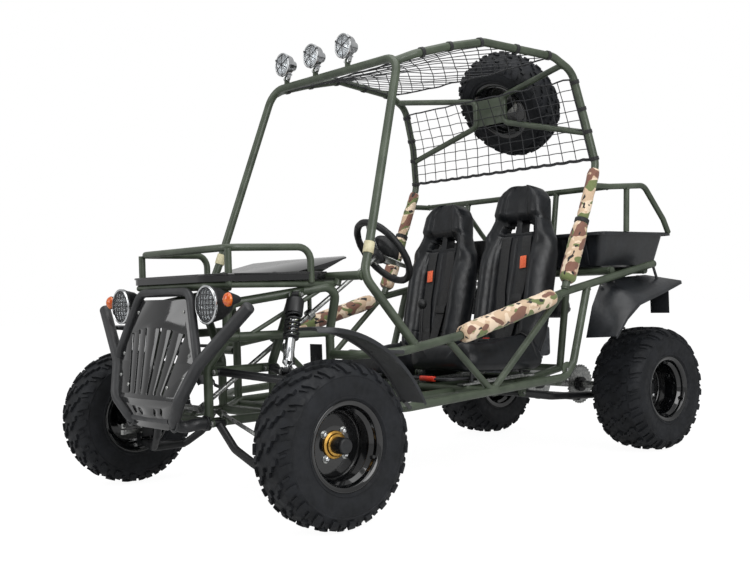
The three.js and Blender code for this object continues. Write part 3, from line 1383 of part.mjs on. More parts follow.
function seatSolid(x, drop) {
  const s = seat;
  const columnShares = [-1, -0.85, -0.58, 0, 0.58, 0.85, 1];
  const bolsterShares = [0.35, 1, 0.1, 0, 0.1, 1, 0.35];
  const panels = { cushion: 2, back: 3 };
  const rows = [];
  const addRow = (y, z, lean, dip, half, lift) => rows.push({ y, z, lean, dip, half, lift });
  const cushionWay = Math.atan2(s.hipZ - s.frontZ, s.hipY - s.frontY);
  const backWay = Math.atan2(s.topZ - s.hipZ, s.topY - s.hipY);
  const run = (fromY, fromZ, toY, toZ, count, way, halves, lifts) => {
    for (let i = 0; i < count; i += 1) {
      for (const [share, dip] of [[0.02, 1], [0.16, 0], [0.84, 0]]) {
        const t = (i + share) / count;
        addRow(
          fromY + (toY - fromY) * t, fromZ + (toZ - fromZ) * t, way, dip * s.channel,
          halves(t), lifts(t),
        );
      }
    }
  };
  const hipRound = s.thick * 1.6;
  addRow(s.frontY, s.frontZ - s.thick * 0.5, cushionWay + Math.PI / 3, 0, s.half * 0.88, 0);
  run(s.frontY, s.frontZ, s.hipY - hipRound, s.hipZ, panels.cushion, cushionWay,
    (t) => s.half * (0.9 + 0.1 * t), (t) => 0.25 + 0.75 * t);
  addRow(s.hipY - hipRound * 0.3, s.hipZ + hipRound * 0.22, (cushionWay + backWay) / 2, 0, s.half, 1);
  const lowY = s.hipY + (s.topY - s.hipY) * hipRound / (s.topZ - s.hipZ);
  run(lowY, s.hipZ + hipRound, s.topY, s.topZ, panels.back, backWay,
    (t) => (t < 0.66 ? s.half : s.half + (s.headHalf - s.half) * ((t - 0.66) / 0.34) ** 1.2),
    (t) => 1 - 0.75 * Math.max(0, t - 0.5) * 2);
  addRow(s.topY, s.topZ, backWay, 0, s.headHalf * 0.93, 0.2);
  const columns = columnShares.length;
  const front = [];
  const back = [];
  rows.forEach((row) => {
    columnShares.forEach((share, c) => {
      const rise = s.bolster * bolsterShares[c] * row.lift - row.dip;
      const deep = s.thick * (Math.abs(share) > 0.95 ? 0.35 : 1);
      const px = x + share * row.half;
      const crown = s.channel * (1 - share * share);
      const up = rise + crown;
      front.push(point(px, row.y - Math.sin(row.lean) * up, row.z - drop + Math.cos(row.lean) * up));
      back.push(point(px, row.y + Math.sin(row.lean) * deep, row.z - drop - Math.cos(row.lean) * deep));
    });
  });
  const points = [...front, ...back];
  const index = [];
  const shell = front.length;
  const quad = (a, b, c, d) => index.push(a, b, c, a, c, d);
  for (let r = 0; r < rows.length - 1; r += 1) {
    for (let c = 0; c < columns - 1; c += 1) {
      const a = r * columns + c;
      quad(a, a + 1, a + columns + 1, a + columns);
      quad(shell + a, shell + a + columns, shell + a + columns + 1, shell + a + 1);
    }
    const left = r * columns;
    const right = left + columns - 1;
    quad(left, left + columns, shell + left + columns, shell + left);
    quad(right, shell + right, shell + right + columns, right + columns);
  }
  const last = (rows.length - 1) * columns;
  for (let c = 0; c < columns - 1; c += 1) {
    quad(c, shell + c, shell + c + 1, c + 1);
    quad(last + c, last + c + 1, shell + last + c + 1, shell + last + c);
  }
  const geometry = new THREE.BufferGeometry().setFromPoints(points);
  geometry.setIndex(index);
  const slotY = s.hipY + (s.topY - s.hipY) * (slotHigh - s.hipZ) / (s.topZ - s.hipZ);
  const slots = [-1, 1].map((side) => block(
    point(x + side * slotSize.wide * 0.85, slotY - slotSize.deep, slotHigh - drop), point(slotSize.wide, slotSize.deep * 2.6, slotSize.high),
  ));
  const runners = [-seatRail.spread, seatRail.spread].map((offset) => {
    const corners = [];
    for (const share of [0.15, 0.85]) {
      const y = seatRail.from + (seatRail.to - seatRail.from) * share;
      const under = s.frontZ + (s.hipZ - s.frontZ) * (y - s.frontY) / (s.hipY - s.frontY) - drop - s.thick * 0.8;
      for (const side of [-seatRail.half, seatRail.half]) {
        corners.push(point(x + offset + side, y, seatRailTop(y) + seatGap), point(x + offset + side, y, under));
      }
    }
    return hull(corners);
  });
  const handleZ = seatRailTop(sliderHandle.y) + 3 * sliderHandle.radius;
  const handle = pipe([
    point(x + seatRail.spread - seatRail.half, sliderHandle.y + sliderHandle.reach, handleZ),
    point(x + seatRail.spread - seatRail.half, sliderHandle.y - sliderHandle.reach, handleZ),
    point(x - seatRail.spread + seatRail.half, sliderHandle.y - sliderHandle.reach, handleZ),
    point(x - seatRail.spread + seatRail.half, sliderHandle.y + sliderHandle.reach, handleZ),
  ], sliderHandle.radius, 0);
  return join(cut(solidOf(geometry), ...slots), ...runners, handle);
}

addPart('seat_left', 'vinyl', seatSolid(seatHalf, 0));
addPart('seat_right', 'vinyl', seatSolid(-seatHalf, seatDrop));

// Padding sleeves on the side bars and on the rear pillars

function padSleeve(from, to, radius, cutter) {
  const sides = roundSides;
  const way = to.clone().sub(from);
  const length = way.length();
  const soft = radius * 0.25;
  const outline = [
    [padBore, 0], [radius - soft, 0], [radius, soft], [radius, length - soft],
    [radius - soft, length], [padBore, length], [padBore, 0],
  ];
  return cut(turned(outline, aimed(from, way), sides), ...cutter);
}

const veeCutter = pipe(veePath, midTube + seatGap, 0);
addPair('side_pad', 'camo', padSleeve(barAt(sidePadFrontY), barAt(sidePadRearY), padRadius, [veeCutter]));

function pillarPad() {
  const railCutter = pipe([
    pillarAt(rackFrontZ), point(rackEndHalf, rackCrossY, rackFrontZ),
  ], rackTube + seatGap, 0);
  const top = pillarAt(pillarPadTopZ);
  const step = pillarAt(pillarPadStepZ);
  const low = pillarAt(pillarPadLowZ);
  const overlap = between(step, top, 0.02);
  return join(
    padSleeve(step, top, slimPadRadius, [railCutter]),
    padSleeve(low, overlap, padRadius, []),
  );
}

addPair('pillar_pad', 'camo', pillarPad());

// Spare wheel on a stub from the brace plate, leaning forward at the top

function spareWheelSolid() {
  const { lean, stubRadius } = spare;
  const axis = point(0, Math.cos(lean), Math.sin(lean));
  const centre = point(0, spare.y, spare.z);
  const turn = new THREE.Matrix4().makeBasis(axis, point(1, 0, 0).cross(axis).cross(axis).negate().normalize(), axis.clone().cross(point(1, 0, 0).cross(axis).cross(axis).negate().normalize())).setPosition(centre);
  const wheel = join(tyreSolid(spareTyre), spareDisc());
  const plateFace = bracePlate.y + sheetWall / 2 + seatGap;
  const stubEnd = centre.clone().addScaledVector(axis, (plateFace - centre.y) / axis.y);
  const stubRod = rod(centre, stubEnd.clone().addScaledVector(axis, -stubRadius), stubRadius);
  const beforePlate = block(point(0, plateFace - spareTyre.width / 2, stubEnd.z), point(spareTyre.width, spareTyre.width, spareTyre.width));
  return join(moved(wheel, turn), cut(stubRod, beforePlate));
}

// The spare's rim is fused with its tyre: a well closed by a dished disc.
function spareDisc() {
  const half = spareTyre.width / 2 - 3 * flangeWidth;
  const outline = [
    [0, -rimWall], [wellRadius, -rimWall], [beadRadius - rimWall, -half], [beadRadius + rimWall, -half],
    [beadRadius + rimWall, half], [beadRadius - rimWall, half], [wellRadius, rimWall],
    [hubFlange.radius, 3 * rimWall], [0, 3 * rimWall],
  ];
  return turned(outline, wheelFrame, rimSides);
}

addPart('spare_wheel', 'rubber', spareWheelSolid());

// Nets: thin skins of cells, each with its hole, closed all round

function netSolid(grid, cells) {
  const up = grid.normals;
  const points = [];
  const half = net.wall / 2;
  grid.points.forEach((p, i) => {
    points.push(p.clone().addScaledVector(up[i], half), p.clone().addScaledVector(up[i], -half));
  });
  const index = [];
  const edges = new Map();
  cells.forEach((cell) => {
    const count = cell.length;
    const centre = cell.reduce((sum, i) => sum.add(grid.points[i]), point(0, 0, 0)).divideScalar(count);
    const first = points.length;
    cell.forEach((i) => {
      const inner = between(grid.points[i], centre, strandShare);
      points.push(inner.clone().addScaledVector(up[i], half), inner.clone().addScaledVector(up[i], -half));
    });
    cell.forEach((a, n) => {
      const b = cell[(n + 1) % count];
      const ia = first + 2 * n;
      const ib = first + 2 * ((n + 1) % count);
      index.push(2 * a, 2 * b, ib, 2 * a, ib, ia);
      index.push(2 * a + 1, ib + 1, 2 * b + 1, 2 * a + 1, ia + 1, ib + 1);
      index.push(ia, ib, ib + 1, ia, ib + 1, ia + 1);
      const key = a < b ? `${a} ${b}` : `${b} ${a}`;
      edges.set(key, edges.has(key) ? null : [a, b]);
    });
  });
  for (const edge of edges.values()) {
    if (edge) {
      const [a, b] = edge;
      index.push(2 * a, 2 * a + 1, 2 * b + 1, 2 * a, 2 * b + 1, 2 * b);
    }
  }
  const geometry = new THREE.BufferGeometry().setFromPoints(points);
  geometry.setIndex(index);
  return solidOf(geometry);
}

// Each stretch between rail points is divided into the given number of rows.
function stationsOf(points, rowsPerStretch) {
  const stations = [points[0]];
  rowsPerStretch.forEach((count, i) => {
    for (let row = 1; row <= count; row += 1) {
      stations.push(between(points[i], points[i + 1], row / count));
    }
  });
  return stations;
}

// A net is spread over the rails or, with the side turned, under them; it sags between them.
function netGrid(stations, columns, side, sag) {
  const grid = { points: [], normals: [] };
  const offset = side * (mainTube + seatGap + net.wall / 2 + net.ease);
  stations.forEach((spot, row) => {
    const last = stations.length - 1;
    const coming = stations[Math.max(row, 1)].clone().sub(stations[Math.max(row - 1, 0)]).setX(0).normalize();
    const going = stations[Math.min(row + 1, last)].clone().sub(stations[Math.min(row, last - 1)]).setX(0).normalize();
    const way = coming.clone().add(going).normalize();
    const normal = point(0, -way.z, way.y);
    const corner = 1 / way.dot(going);
    for (let c = 0; c <= columns; c += 1) {
      const u = 2 * c / columns - 1;
      const rise = offset * corner - sag * (1 - u * u);
      grid.points.push(point(u * spot.x, spot.y, spot.z).addScaledVector(normal, rise));
      grid.normals.push(normal);
    }
  });
  return grid;
}

function squareCells(rows, columns) {
  const cells = [];
  for (let r = 0; r < rows; r += 1) {
    for (let c = 0; c < columns; c += 1) {
      const a = r * (columns + 1) + c;
      cells.push([a, a + 1, a + columns + 2, a + columns + 1]);
    }
  }
  return cells;
}

// Diamonds stand on every second grid point, with half diamonds along the borders.
function diamondCells(rows, columns) {
  const cells = [];
  for (let r = 0; r <= rows; r += 1) {
    for (let c = 0; c <= columns; c += 1) {
      if ((r + c) % 2 === 1) {
        const ring = [[r - 1, c], [r, c + 1], [r + 1, c], [r, c - 1]].map(([a, b]) => (
          a < 0 || a > rows || b < 0 || b > columns ? [r, c] : [a, b]
        ));
        cells.push(ring.map(([a, b]) => a * (columns + 1) + b));
      }
    }
  }
  return cells;
}

const roofStations = stationsOf([roofStart, roofFront, roofPeak, roofRear].map(place), net.roofRows);
const backTop = between(place(cageShoulder), place(cageBack), net.inset);
const backEnd = between(place(cageKink), place(cageBack), net.inset);
const backStations = stationsOf([backTop, place(cageBack), backEnd], net.backRows);
const roofGrid = netGrid(roofStations, net.columns, 1, net.sag);
const backGrid = netGrid(backStations, net.columns, -1, 0);
addPart('roof_net', 'net', netSolid(roofGrid, diamondCells(roofStations.length - 1, net.columns)));
addPart('back_net', 'net', netSolid(backGrid, squareCells(backStations.length - 1, net.columns)));

// The origin is on the ground, midway between the foremost and the rearmost points.
const span = new THREE.Box3().setFromObject(kart, true);
kart.position.y = -(span.min.y + span.max.y) / 2;

export default kart;
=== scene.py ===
# Off road go kart for two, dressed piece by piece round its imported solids.
# Lengths are in millimetres from the ground under the middle of the front axle: X to the kart's
# left, Y to its rear and Z up. One matrix takes each finished piece to its place in the frame.

import math

import bmesh
import bpy
from mathutils import Matrix, Vector, noise


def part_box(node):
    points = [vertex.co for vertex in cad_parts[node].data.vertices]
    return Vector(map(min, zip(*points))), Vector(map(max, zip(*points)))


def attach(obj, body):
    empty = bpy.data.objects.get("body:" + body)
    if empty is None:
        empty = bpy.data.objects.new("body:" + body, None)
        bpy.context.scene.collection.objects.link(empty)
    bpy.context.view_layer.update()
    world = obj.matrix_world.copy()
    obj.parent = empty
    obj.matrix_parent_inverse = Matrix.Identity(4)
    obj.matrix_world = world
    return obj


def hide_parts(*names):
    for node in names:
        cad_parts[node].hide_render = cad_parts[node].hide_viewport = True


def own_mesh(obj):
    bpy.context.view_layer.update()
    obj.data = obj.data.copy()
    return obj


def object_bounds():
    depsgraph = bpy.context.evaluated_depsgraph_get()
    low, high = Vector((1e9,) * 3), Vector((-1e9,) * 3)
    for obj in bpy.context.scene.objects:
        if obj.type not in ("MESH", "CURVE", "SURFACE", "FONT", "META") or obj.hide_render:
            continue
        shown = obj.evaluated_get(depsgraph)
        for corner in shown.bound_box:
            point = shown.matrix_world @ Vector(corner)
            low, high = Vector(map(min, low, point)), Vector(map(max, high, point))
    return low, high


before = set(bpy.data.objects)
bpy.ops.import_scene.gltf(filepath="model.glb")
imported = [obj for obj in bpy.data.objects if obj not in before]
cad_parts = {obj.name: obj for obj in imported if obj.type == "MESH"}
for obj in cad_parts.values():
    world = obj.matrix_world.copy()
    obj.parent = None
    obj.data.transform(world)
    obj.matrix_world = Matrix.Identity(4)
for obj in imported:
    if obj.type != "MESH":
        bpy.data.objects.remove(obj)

cad_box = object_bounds()

# The camera stands low, ahead of the left front wheel, where the photograph was taken from.
# Its place, turn and lens were worked out from the frame's straight tubes and the four wheels.
MM = 0.001
camera_spot = (3224.7, -2027.7, 737.9)
camera_turn = {"azimuth": 49.01, "elevation": -0.56, "roll": -1.85}
focal_pixels = 1044.45
image_width = 750
sensor_width = 36

front_tyre_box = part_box("front_tyre_left")
axle_y = (front_tyre_box[0].y + front_tyre_box[1].y) / 2
BENCH = Matrix.Translation((0, axle_y, 0)) @ Matrix.Scale(MM, 4)


def camera_basis(azimuth, elevation, roll):
    """The camera's right, up and back directions, with the roll about its own line of sight."""
    a, e, r = (math.radians(x) for x in (azimuth, elevation, roll))
    back = Vector((math.sin(a) * math.cos(e), -math.cos(a) * math.cos(e), math.sin(e)))
    right = (-back).cross(Vector((0, 0, 1))).normalized()
    up = right.cross(-back)
    return (
        right * math.cos(r) + up * math.sin(r),
        up * math.cos(r) - right * math.sin(r),
        back,
    )


camera = bpy.data.objects.new("camera", bpy.data.cameras.new("camera"))
camera.data.sensor_width = sensor_width
camera.data.lens = focal_pixels * sensor_width / image_width
camera.data.clip_end = 100
basis = Matrix(camera_basis(**camera_turn)).transposed().to_4x4()
camera.matrix_world = Matrix.Translation(BENCH @ Vector(camera_spot)) @ basis
bpy.context.scene.collection.objects.link(camera)
bpy.context.scene.camera = camera
bpy.context.scene.view_settings.view_transform = "Standard"

# A white studio floor runs out to a white sky, as on a cut out picture. Three soft lamps stand
# over, beside and ahead of the kart; the sky gives the even fill, and what shines in the paint.
floor_half, floor_shade = 30, (0.6, 0.6, 0.6, 1)
glow_strength, glow_unseen, glow_seen = 1.26, 0.12, 0.76
sky_strength = 0.5
white = (1, 1, 1, 1)
overhead_lamp = {"energy": 95, "size": 4.2, "spot": (0.6, -0.6, 4.4), "aim": (0, 0, 0.6)}
side_lamp = {"energy": 105, "size": 3.0, "spot": (4.2, -1.2, 2.6), "aim": (0.2, -0.2, 0.7)}
front_lamp = {"energy": 45, "size": 2.4, "spot": (-1.6, -4.6, 2.3), "aim": (0, -0.4, 0.6)}


def linear(code):
    """An sRGB hex colour as linear red, green, blue and alpha."""
    shares = [(code >> shift & 255) / 255 for shift in (16, 8, 0)]
    return tuple(c / 12.92 if c <= 0.04045 else ((c + 0.055) / 1.055) ** 2.4
                 for c in shares) + (1.0,)


def node(tree, kind, settings=None, **inputs):
    """Adds a node with its settings; an input is a value, or another node's socket to link."""
    made = tree.nodes.new(kind)
    for key, value in (settings or {}).items():
        setattr(made, key, value)
    for key, value in inputs.items():
        socket = made.inputs[key.replace("_", " ")]
        if isinstance(value, bpy.types.NodeSocket):
            tree.links.new(value, socket)
        else:
            socket.default_value = value
    return made


def lamp(name, energy, size, spot, aim):
    light = bpy.data.lights.new(name, "AREA")
    light.energy, light.size = energy, size
    made = bpy.data.objects.new(name, light)
    made.location = spot
    made.rotation_euler = (Vector(spot) - Vector(aim)).to_track_quat("Z", "Y").to_euler()
    bpy.context.scene.collection.objects.link(made)


def white_sky():
    world = bpy.data.worlds.new("sky")
    world.use_nodes = True
    tree = world.node_tree
    seen = node(tree, "ShaderNodeLightPath")
    shiny = node(tree, "ShaderNodeMath", {"operation": "MAXIMUM"})
    tree.links.new(seen.outputs["Is Camera Ray"], shiny.inputs[0])
    tree.links.new(seen.outputs["Is Transmission Ray"], shiny.inputs[1])
    strength = node(tree, "ShaderNodeMapRange", Value=shiny.outputs[0], To_Min=sky_strength,
                    To_Max=1.0)
    back = tree.nodes["Background"]
    back.inputs["Color"].default_value = white
    tree.links.new(strength.outputs["Result"], back.inputs["Strength"])
    bpy.context.scene.world = world


def studio_floor():
    """The floor lies just under the tyres. Most of its white is its own; the rest takes shade."""
    material = bpy.data.materials.new("white floor")
    material.use_nodes = True
    tree = material.node_tree
    tree.nodes.remove(tree.nodes["Principled BSDF"])
    matt = node(tree, "ShaderNodeBsdfDiffuse", Color=floor_shade)
    glow = node(tree, "ShaderNodeEmission", Color=white, Strength=glow_strength)
    seen = node(tree, "ShaderNodeLightPath")
    share = node(tree, "ShaderNodeMapRange", Value=seen.outputs["Is Camera Ray"],
                 To_Min=glow_unseen, To_Max=glow_seen)
    mix = node(tree, "ShaderNodeMixShader", Fac=share.outputs["Result"])
    tree.links.new(matt.outputs[0], mix.inputs[1])
    tree.links.new(glow.outputs[0], mix.inputs[2])
    tree.links.new(mix.outputs[0], tree.nodes["Material Output"].inputs["Surface"])
    mesh = bpy.data.meshes.new("floor")
    z = cad_box[0].z
    corners = [(x * floor_half, y * floor_half, z) for x, y in ((-1, -1), (1, -1), (1, 1), (-1, 1))]
    mesh.from_pydata(corners, [], [(0, 1, 2, 3)])
    mesh.materials.append(material)
    floor = bpy.data.objects.new("floor", mesh)
    bpy.context.scene.collection.objects.link(floor)


white_sky()
studio_floor()
for name, values in (("overhead", overhead_lamp), ("side", side_lamp), ("front", front_lamp)):
    lamp(name, **values)

# The frame is round steel tube, bent cold and welded at its joints, then powder coated olive green.
# The coat is satin, with the faint orange peel of sprayed powder and slightly duller patches.
olive_shades = (0x3a4335, 0x495243)
main_tube = 16
mid_tube = 13
rack_tube = 12.5
brace_tube = 8
tube_sides = 20
bend_steps = 7
weld_wire = 2.6
SIDES = ((1, "left"), (-1, "right"))


class Piece:
    """Gathers the parts of one piece, in millimetres, and then stands it on its body."""

    def __init__(self, name):
        self.name, self.solid, self.finishes = name, bmesh.new(), []

    def add(self, mesh, finish=None, turn=None):
        finish = finish or mesh.materials[-1]
        if finish not in self.finishes:
            self.finishes.append(finish)
        if turn is not None:
            mesh.transform(turn)
        index = self.finishes.index(finish)
        mesh.polygons.foreach_set("material_index", [index] * len(mesh.polygons))
        self.solid.from_mesh(mesh)
        bpy.data.meshes.remove(mesh)

    def lathe(self, outline, turn, finish, sides=40, rounding=0, steps=3):
        """Adds a solid turned about the frame's Z axis, its outline's corners rounded if asked."""
        ring = rounded_ring(outline, rounding, steps) if rounding else outline
        self.add(turned(ring, turn, sides), finish)

    def stud(self, spot, way, radius, height, finish):
        """A low round screw head."""
        outline = [(0, 0), (radius, 0), (radius - 1, height), (0, height + 1)]
        self.lathe(outline, aimed(spot, way), finish, 20, 1)

    def fit(self, body, slot, replaces=(), sharp=32, round_all=False):
        mesh = bpy.data.meshes.new(self.name)
        self.solid.transform(BENCH)
        self.solid.to_mesh(mesh)
        self.solid.free()
        mesh.shade_smooth()
        if not round_all:
            mesh.set_sharp_from_angle(angle=math.radians(sharp))
        for finish in self.finishes:
            mesh.materials.append(finish)
        piece = bpy.data.objects.new(self.name, mesh)
        bpy.context.scene.collection.objects.link(piece)
        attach(piece, body)
        if replaces:
            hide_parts(*replaces)
        return piece


def ended(shape, mesh=None):
    """Turns a bmesh's faces outwards and ends it in a mesh."""
    bmesh.ops.recalc_face_normals(shape, faces=shape.faces)
    mesh = mesh or bpy.data.meshes.new("part")
    shape.to_mesh(mesh)
    shape.free()
    return mesh


def closed(points, faces):
    """A mesh from points and faces, with doubled points merged and its faces turned outwards."""
    shape = bmesh.new()
    corners = [shape.verts.new(point) for point in points]
    for face in faces:
        if len(set(face)) > 2:
            shape.faces.new([corners[i] for i in face])
    bmesh.ops.remove_doubles(shape, verts=shape.verts, dist=0.01)
    bmesh.ops.dissolve_degenerate(shape, edges=shape.edges, dist=0.005)
    return ended(shape)


def hull_of(points, bevel=0, steps=2):
    """The tight skin round some points, with its edges rounded."""
    shape = bmesh.new()
    for point in points:
        shape.verts.new(point)
    made = bmesh.ops.convex_hull(shape, input=shape.verts)
    loose = [v for v in made["geom_interior"] + made["geom_unused"]
             if isinstance(v, bmesh.types.BMVert)]
    bmesh.ops.delete(shape, geom=list(set(loose)), context="VERTS")
    bmesh.ops.dissolve_limit(shape, angle_limit=0.02, verts=shape.verts, edges=shape.edges)
    if bevel:
        bmesh.ops.bevel(shape, geom=shape.edges, offset=bevel, segments=steps, affect="EDGES",
                        profile=0.5, clamp_overlap=True)
    return ended(shape)


def prism(xs, outline, bevel=0):
    """The hull of an outline in Y and Z, from one X to another."""
    return hull_of([Vector((x, y, z)) for x in xs for y, z in outline], bevel)


def collar_of(inner, outer, low, high):
    """The outline of a plain ring or disc, for turning."""
    return [(inner, low), (outer, low), (outer, high), (inner, high)]


def block(centre, size, bevel=1.5):
    return hull_of([
        Vector(centre) + Vector((x * size[0], y * size[1], z * size[2])) / 2
        for x in (-1, 1) for y in (-1, 1) for z in (-1, 1)
    ], bevel)


def aimed(centre, along, across=None):
    """A frame at the centre, with its Z axis along the first direction and X near the second."""
    z = Vector(along).normalized()
    across = Vector(across or ((0, 0, 1) if abs(z.x) > abs(z.z) else (1, 0, 0)))
    x = (across - z * across.dot(z)).normalized()
    return Matrix.Translation(centre) @ Matrix((x, z.cross(x), z)).transposed().to_4x4()


def mirrored(points, side):
    return [Vector((side * x, y, z)) for x, y, z in points]


def circle(radius, count, height=0.0):
    """Points round the Z axis."""
    angles = [2 * math.pi * i / count for i in range(count)]
    return [Vector((radius * math.cos(a), radius * math.sin(a), height)) for a in angles]


def placed(turn, points):
    return [turn @ point for point in points]


def on_line(line, value, axis=1):
    """The point of a line of corners where the given coordinate has the value."""
    for start, end in zip(line, line[1:]):
        if (value - end[axis]) * (end[axis] - start[axis]) <= 0:
            break
    share = (value - start[axis]) / (end[axis] - start[axis])
    return Vector([a + (b - a) * share for a, b in zip(start, end)])


def arch(points):
    """The line of points, then its mirror image back down the kart's other side."""
    return points + [(-x, *rest) for x, *rest in reversed(points)]


def turned(outline, turn, sides=40):
    """A solid turned about the frame's Z axis; the outline is a closed ring of [radius, height]."""
    points, faces = [], []
    count = len(outline)
    for i in range(sides):
        angle = 2 * math.pi * i / sides
        for radius, height in outline:
            spot = Vector((radius * math.cos(angle), radius * math.sin(angle), height))
            points.append(turn @ spot)
    for i in range(sides):
        a, b = i * count, (i + 1) % sides * count
        for j in range(count):
            k = (j + 1) % count
            if outline[j][0] or outline[k][0]:
                faces.append((a + j, b + j, b + k, a + k))
    return closed(points, faces)


def rounded_ring(outline, radius=1.5, steps=3):
    """The outline with each corner off the axis rounded by short chords."""
    ring = []
    count = len(outline)
    for i, corner in enumerate(outline):
        here = Vector(corner)
        back, on = Vector(outline[i - 1]) - here, Vector(outline[(i + 1) % count]) - here
        if not corner[0] or not back.length or not on.length:
            ring.append(tuple(here))
            continue
        reach = min(radius, back.length / 2.2, on.length / 2.2)
        start, end = here + back.normalized() * reach, here + on.normalized() * reach
        for step in range(steps + 1):
            t = step / steps
            ring.append(tuple(start.lerp(here, t).lerp(here.lerp(end, t), t)))
    return ring


def rod(start, end, radius, sides=20, chamfer=1.0):
    start, end = Vector(start), Vector(end)
    length = (end - start).length
    outline = [(0, 0), (radius - chamfer, 0), (radius, chamfer), (radius, length - chamfer),
               (radius - chamfer, length), (0, length)]
    return turned(outline, aimed(start, end - start), sides)


def tree_with(name, **sizes):
    """A new Geometry Nodes tree with its named sizes, and its first and last sockets."""
    tree = bpy.data.node_groups.new(name, "GeometryNodeTree")
    tree.interface.new_socket("Geometry", in_out="OUTPUT", socket_type="NodeSocketGeometry")
    tree.interface.new_socket("Geometry", in_out="INPUT", socket_type="NodeSocketGeometry")
    for label, kind in {**sizes, "Material": "Material"}.items():
        tree.interface.new_socket(label.replace("_", " "), in_out="INPUT",
                                  socket_type=f"NodeSocket{kind}")
    return tree, tree.nodes.new("NodeGroupInput").outputs


def end_tree(tree, geometry, material):
    """Realizes the instances, sets the material and leads to the tree's output."""
    real = node(tree, "GeometryNodeRealizeInstances", Geometry=geometry)
    dressed = node(tree, "GeometryNodeSetMaterial", Geometry=real.outputs[0], Material=material)
    tree.links.new(dressed.outputs[0], tree.nodes.new("NodeGroupOutput").inputs["Geometry"])


def grown(tree, seed, sizes):
    """The plain mesh that a tree makes from a seed mesh."""
    bench = bpy.data.objects.new("bench", seed)
    bpy.context.scene.collection.objects.link(bench)
    modifier = bench.modifiers.new("grown", "NODES")
    modifier.node_group = tree
    for item in tree.interface.items_tree:
        if item.in_out == "INPUT" and item.name in sizes:
            modifier[item.identifier] = sizes[item.name]
    view = bpy.context.evaluated_depsgraph_get()
    mesh = bpy.data.meshes.new_from_object(bench.evaluated_get(view))
    bpy.data.objects.remove(bench)
    bpy.data.meshes.remove(seed)
    return mesh


def bent_tube_tree():
    """Lines of corners become bent round tubes, by the two radii stored at each corner."""
    tree, sizes = tree_with("bent tube", Sides="Int", Bend_steps="Int")
    line = node(tree, "GeometryNodeMeshToCurve", Mesh=sizes["Geometry"])
    tube = node(tree, "GeometryNodeInputNamedAttribute", {"data_type": "FLOAT"}, Name="tube")
    bend = node(tree, "GeometryNodeInputNamedAttribute", {"data_type": "FLOAT"}, Name="bend")
    bent = node(tree, "GeometryNodeFilletCurve", {"mode": "POLY"}, Curve=line.outputs[0],
                Count=sizes["Bend steps"], Radius=bend.outputs["Attribute"], Limit_Radius=True)
    ring = node(tree, "GeometryNodeCurvePrimitiveCircle", Resolution=sizes["Sides"], Radius=1.0)
    skin = node(tree, "GeometryNodeCurveToMesh", Curve=bent.outputs[0],
                Profile_Curve=ring.outputs["Curve"], Scale=tube.outputs["Attribute"],
                Fill_Caps=True)
    end_tree(tree, skin.outputs[0], sizes["Material"])
    return tree


BENT_TUBE = bent_tube_tree()


class Tubing:
    """Runs of tube, each a line of corners; a weld is a ring of wire round a tube's end."""

    def __init__(self):
        self.corners, self.links, self.radii, self.bends = [], [], [], []

    def run(self, corners, radius, bend=0, ring=False):
        first = len(self.corners)
        self.corners += [tuple(corner) for corner in corners]
        self.links += [(i, i + 1) for i in range(first, len(self.corners) - 1)]
        if ring:
            self.links.append((len(self.corners) - 1, first))
        self.radii += [radius] * len(corners)
        self.bends += [bend] * len(corners)

    def both(self, corners, radius, bend=0):
        for side in (1, -1):
            self.run([(side * x, y, z) for x, y, z in corners], radius, bend)

    def weld(self, spot, towards, radius, wire=weld_wire, both=True):
        """The bead's dimes rise and fall round the ring, as a hand weld does."""
        beads = 22
        for side in ((1, -1) if both and spot[0] else (1,)):
            flip = Vector((side, 1, 1))
            centre, way = Vector(spot) * flip, (Vector(towards) - Vector(spot)) * flip
            first = len(self.corners)
            self.run(placed(aimed(centre, way), circle(radius, beads)), wire, 0, ring=True)
            for i in range(first, len(self.radii), 2):
                self.radii[i] = wire * 0.72

    def mesh(self, finish, sides=tube_sides, steps=bend_steps):
        seed = bpy.data.meshes.new("runs")
        seed.from_pydata(self.corners, self.links, [])
        for name, values in (("tube", self.radii), ("bend", self.bends)):
            seed.attributes.new(name, "FLOAT", "POINT").data.foreach_set("value", values)
        return grown(BENT_TUBE, seed, {"Sides": sides, "Bend steps": steps, "Material": finish})


def finish_of(name, **shader):
    """A new material, its tree and its shader, with the shader's own sockets set."""
    material = bpy.data.materials.new(name)
    material.use_nodes = True
    made = material.node_tree.nodes["Principled BSDF"]
    for socket, value in shader.items():
        made.inputs[socket.replace("_", " ")].default_value = value
    return material, material.node_tree, made


def grain(tree, size, detail=2.0, stretch=None):
    """Noise whose grains have the given size in millimetres, in the piece's own coordinates."""
    spot = node(tree, "ShaderNodeTexCoord").outputs["Object"]
    if stretch:
        spot = node(tree, "ShaderNodeMapping", Vector=spot, Scale=stretch).outputs["Vector"]
    return node(tree, "ShaderNodeTexNoise", Vector=spot, Scale=1 / (size * MM),
                Detail=detail).outputs["Fac"]


def ranged(tree, factor, low, high, start=0.35, end=0.65):
    return node(tree, "ShaderNodeMapRange", Value=factor, From_Min=start, From_Max=end,
                To_Min=low, To_Max=high).outputs["Result"]


def shaded(tree, shader, factor, dark, light):
    """The base colour runs from the dark to the light shade with the factor."""
    mix = node(tree, "ShaderNodeMixRGB", Fac=factor, Color1=linear(dark), Color2=linear(light))
    tree.links.new(mix.outputs["Color"], shader.inputs["Base Color"])
    return mix.outputs["Color"]


def rough(tree, shader, factor, low, high):
    tree.links.new(ranged(tree, factor, low, high), shader.inputs["Roughness"])


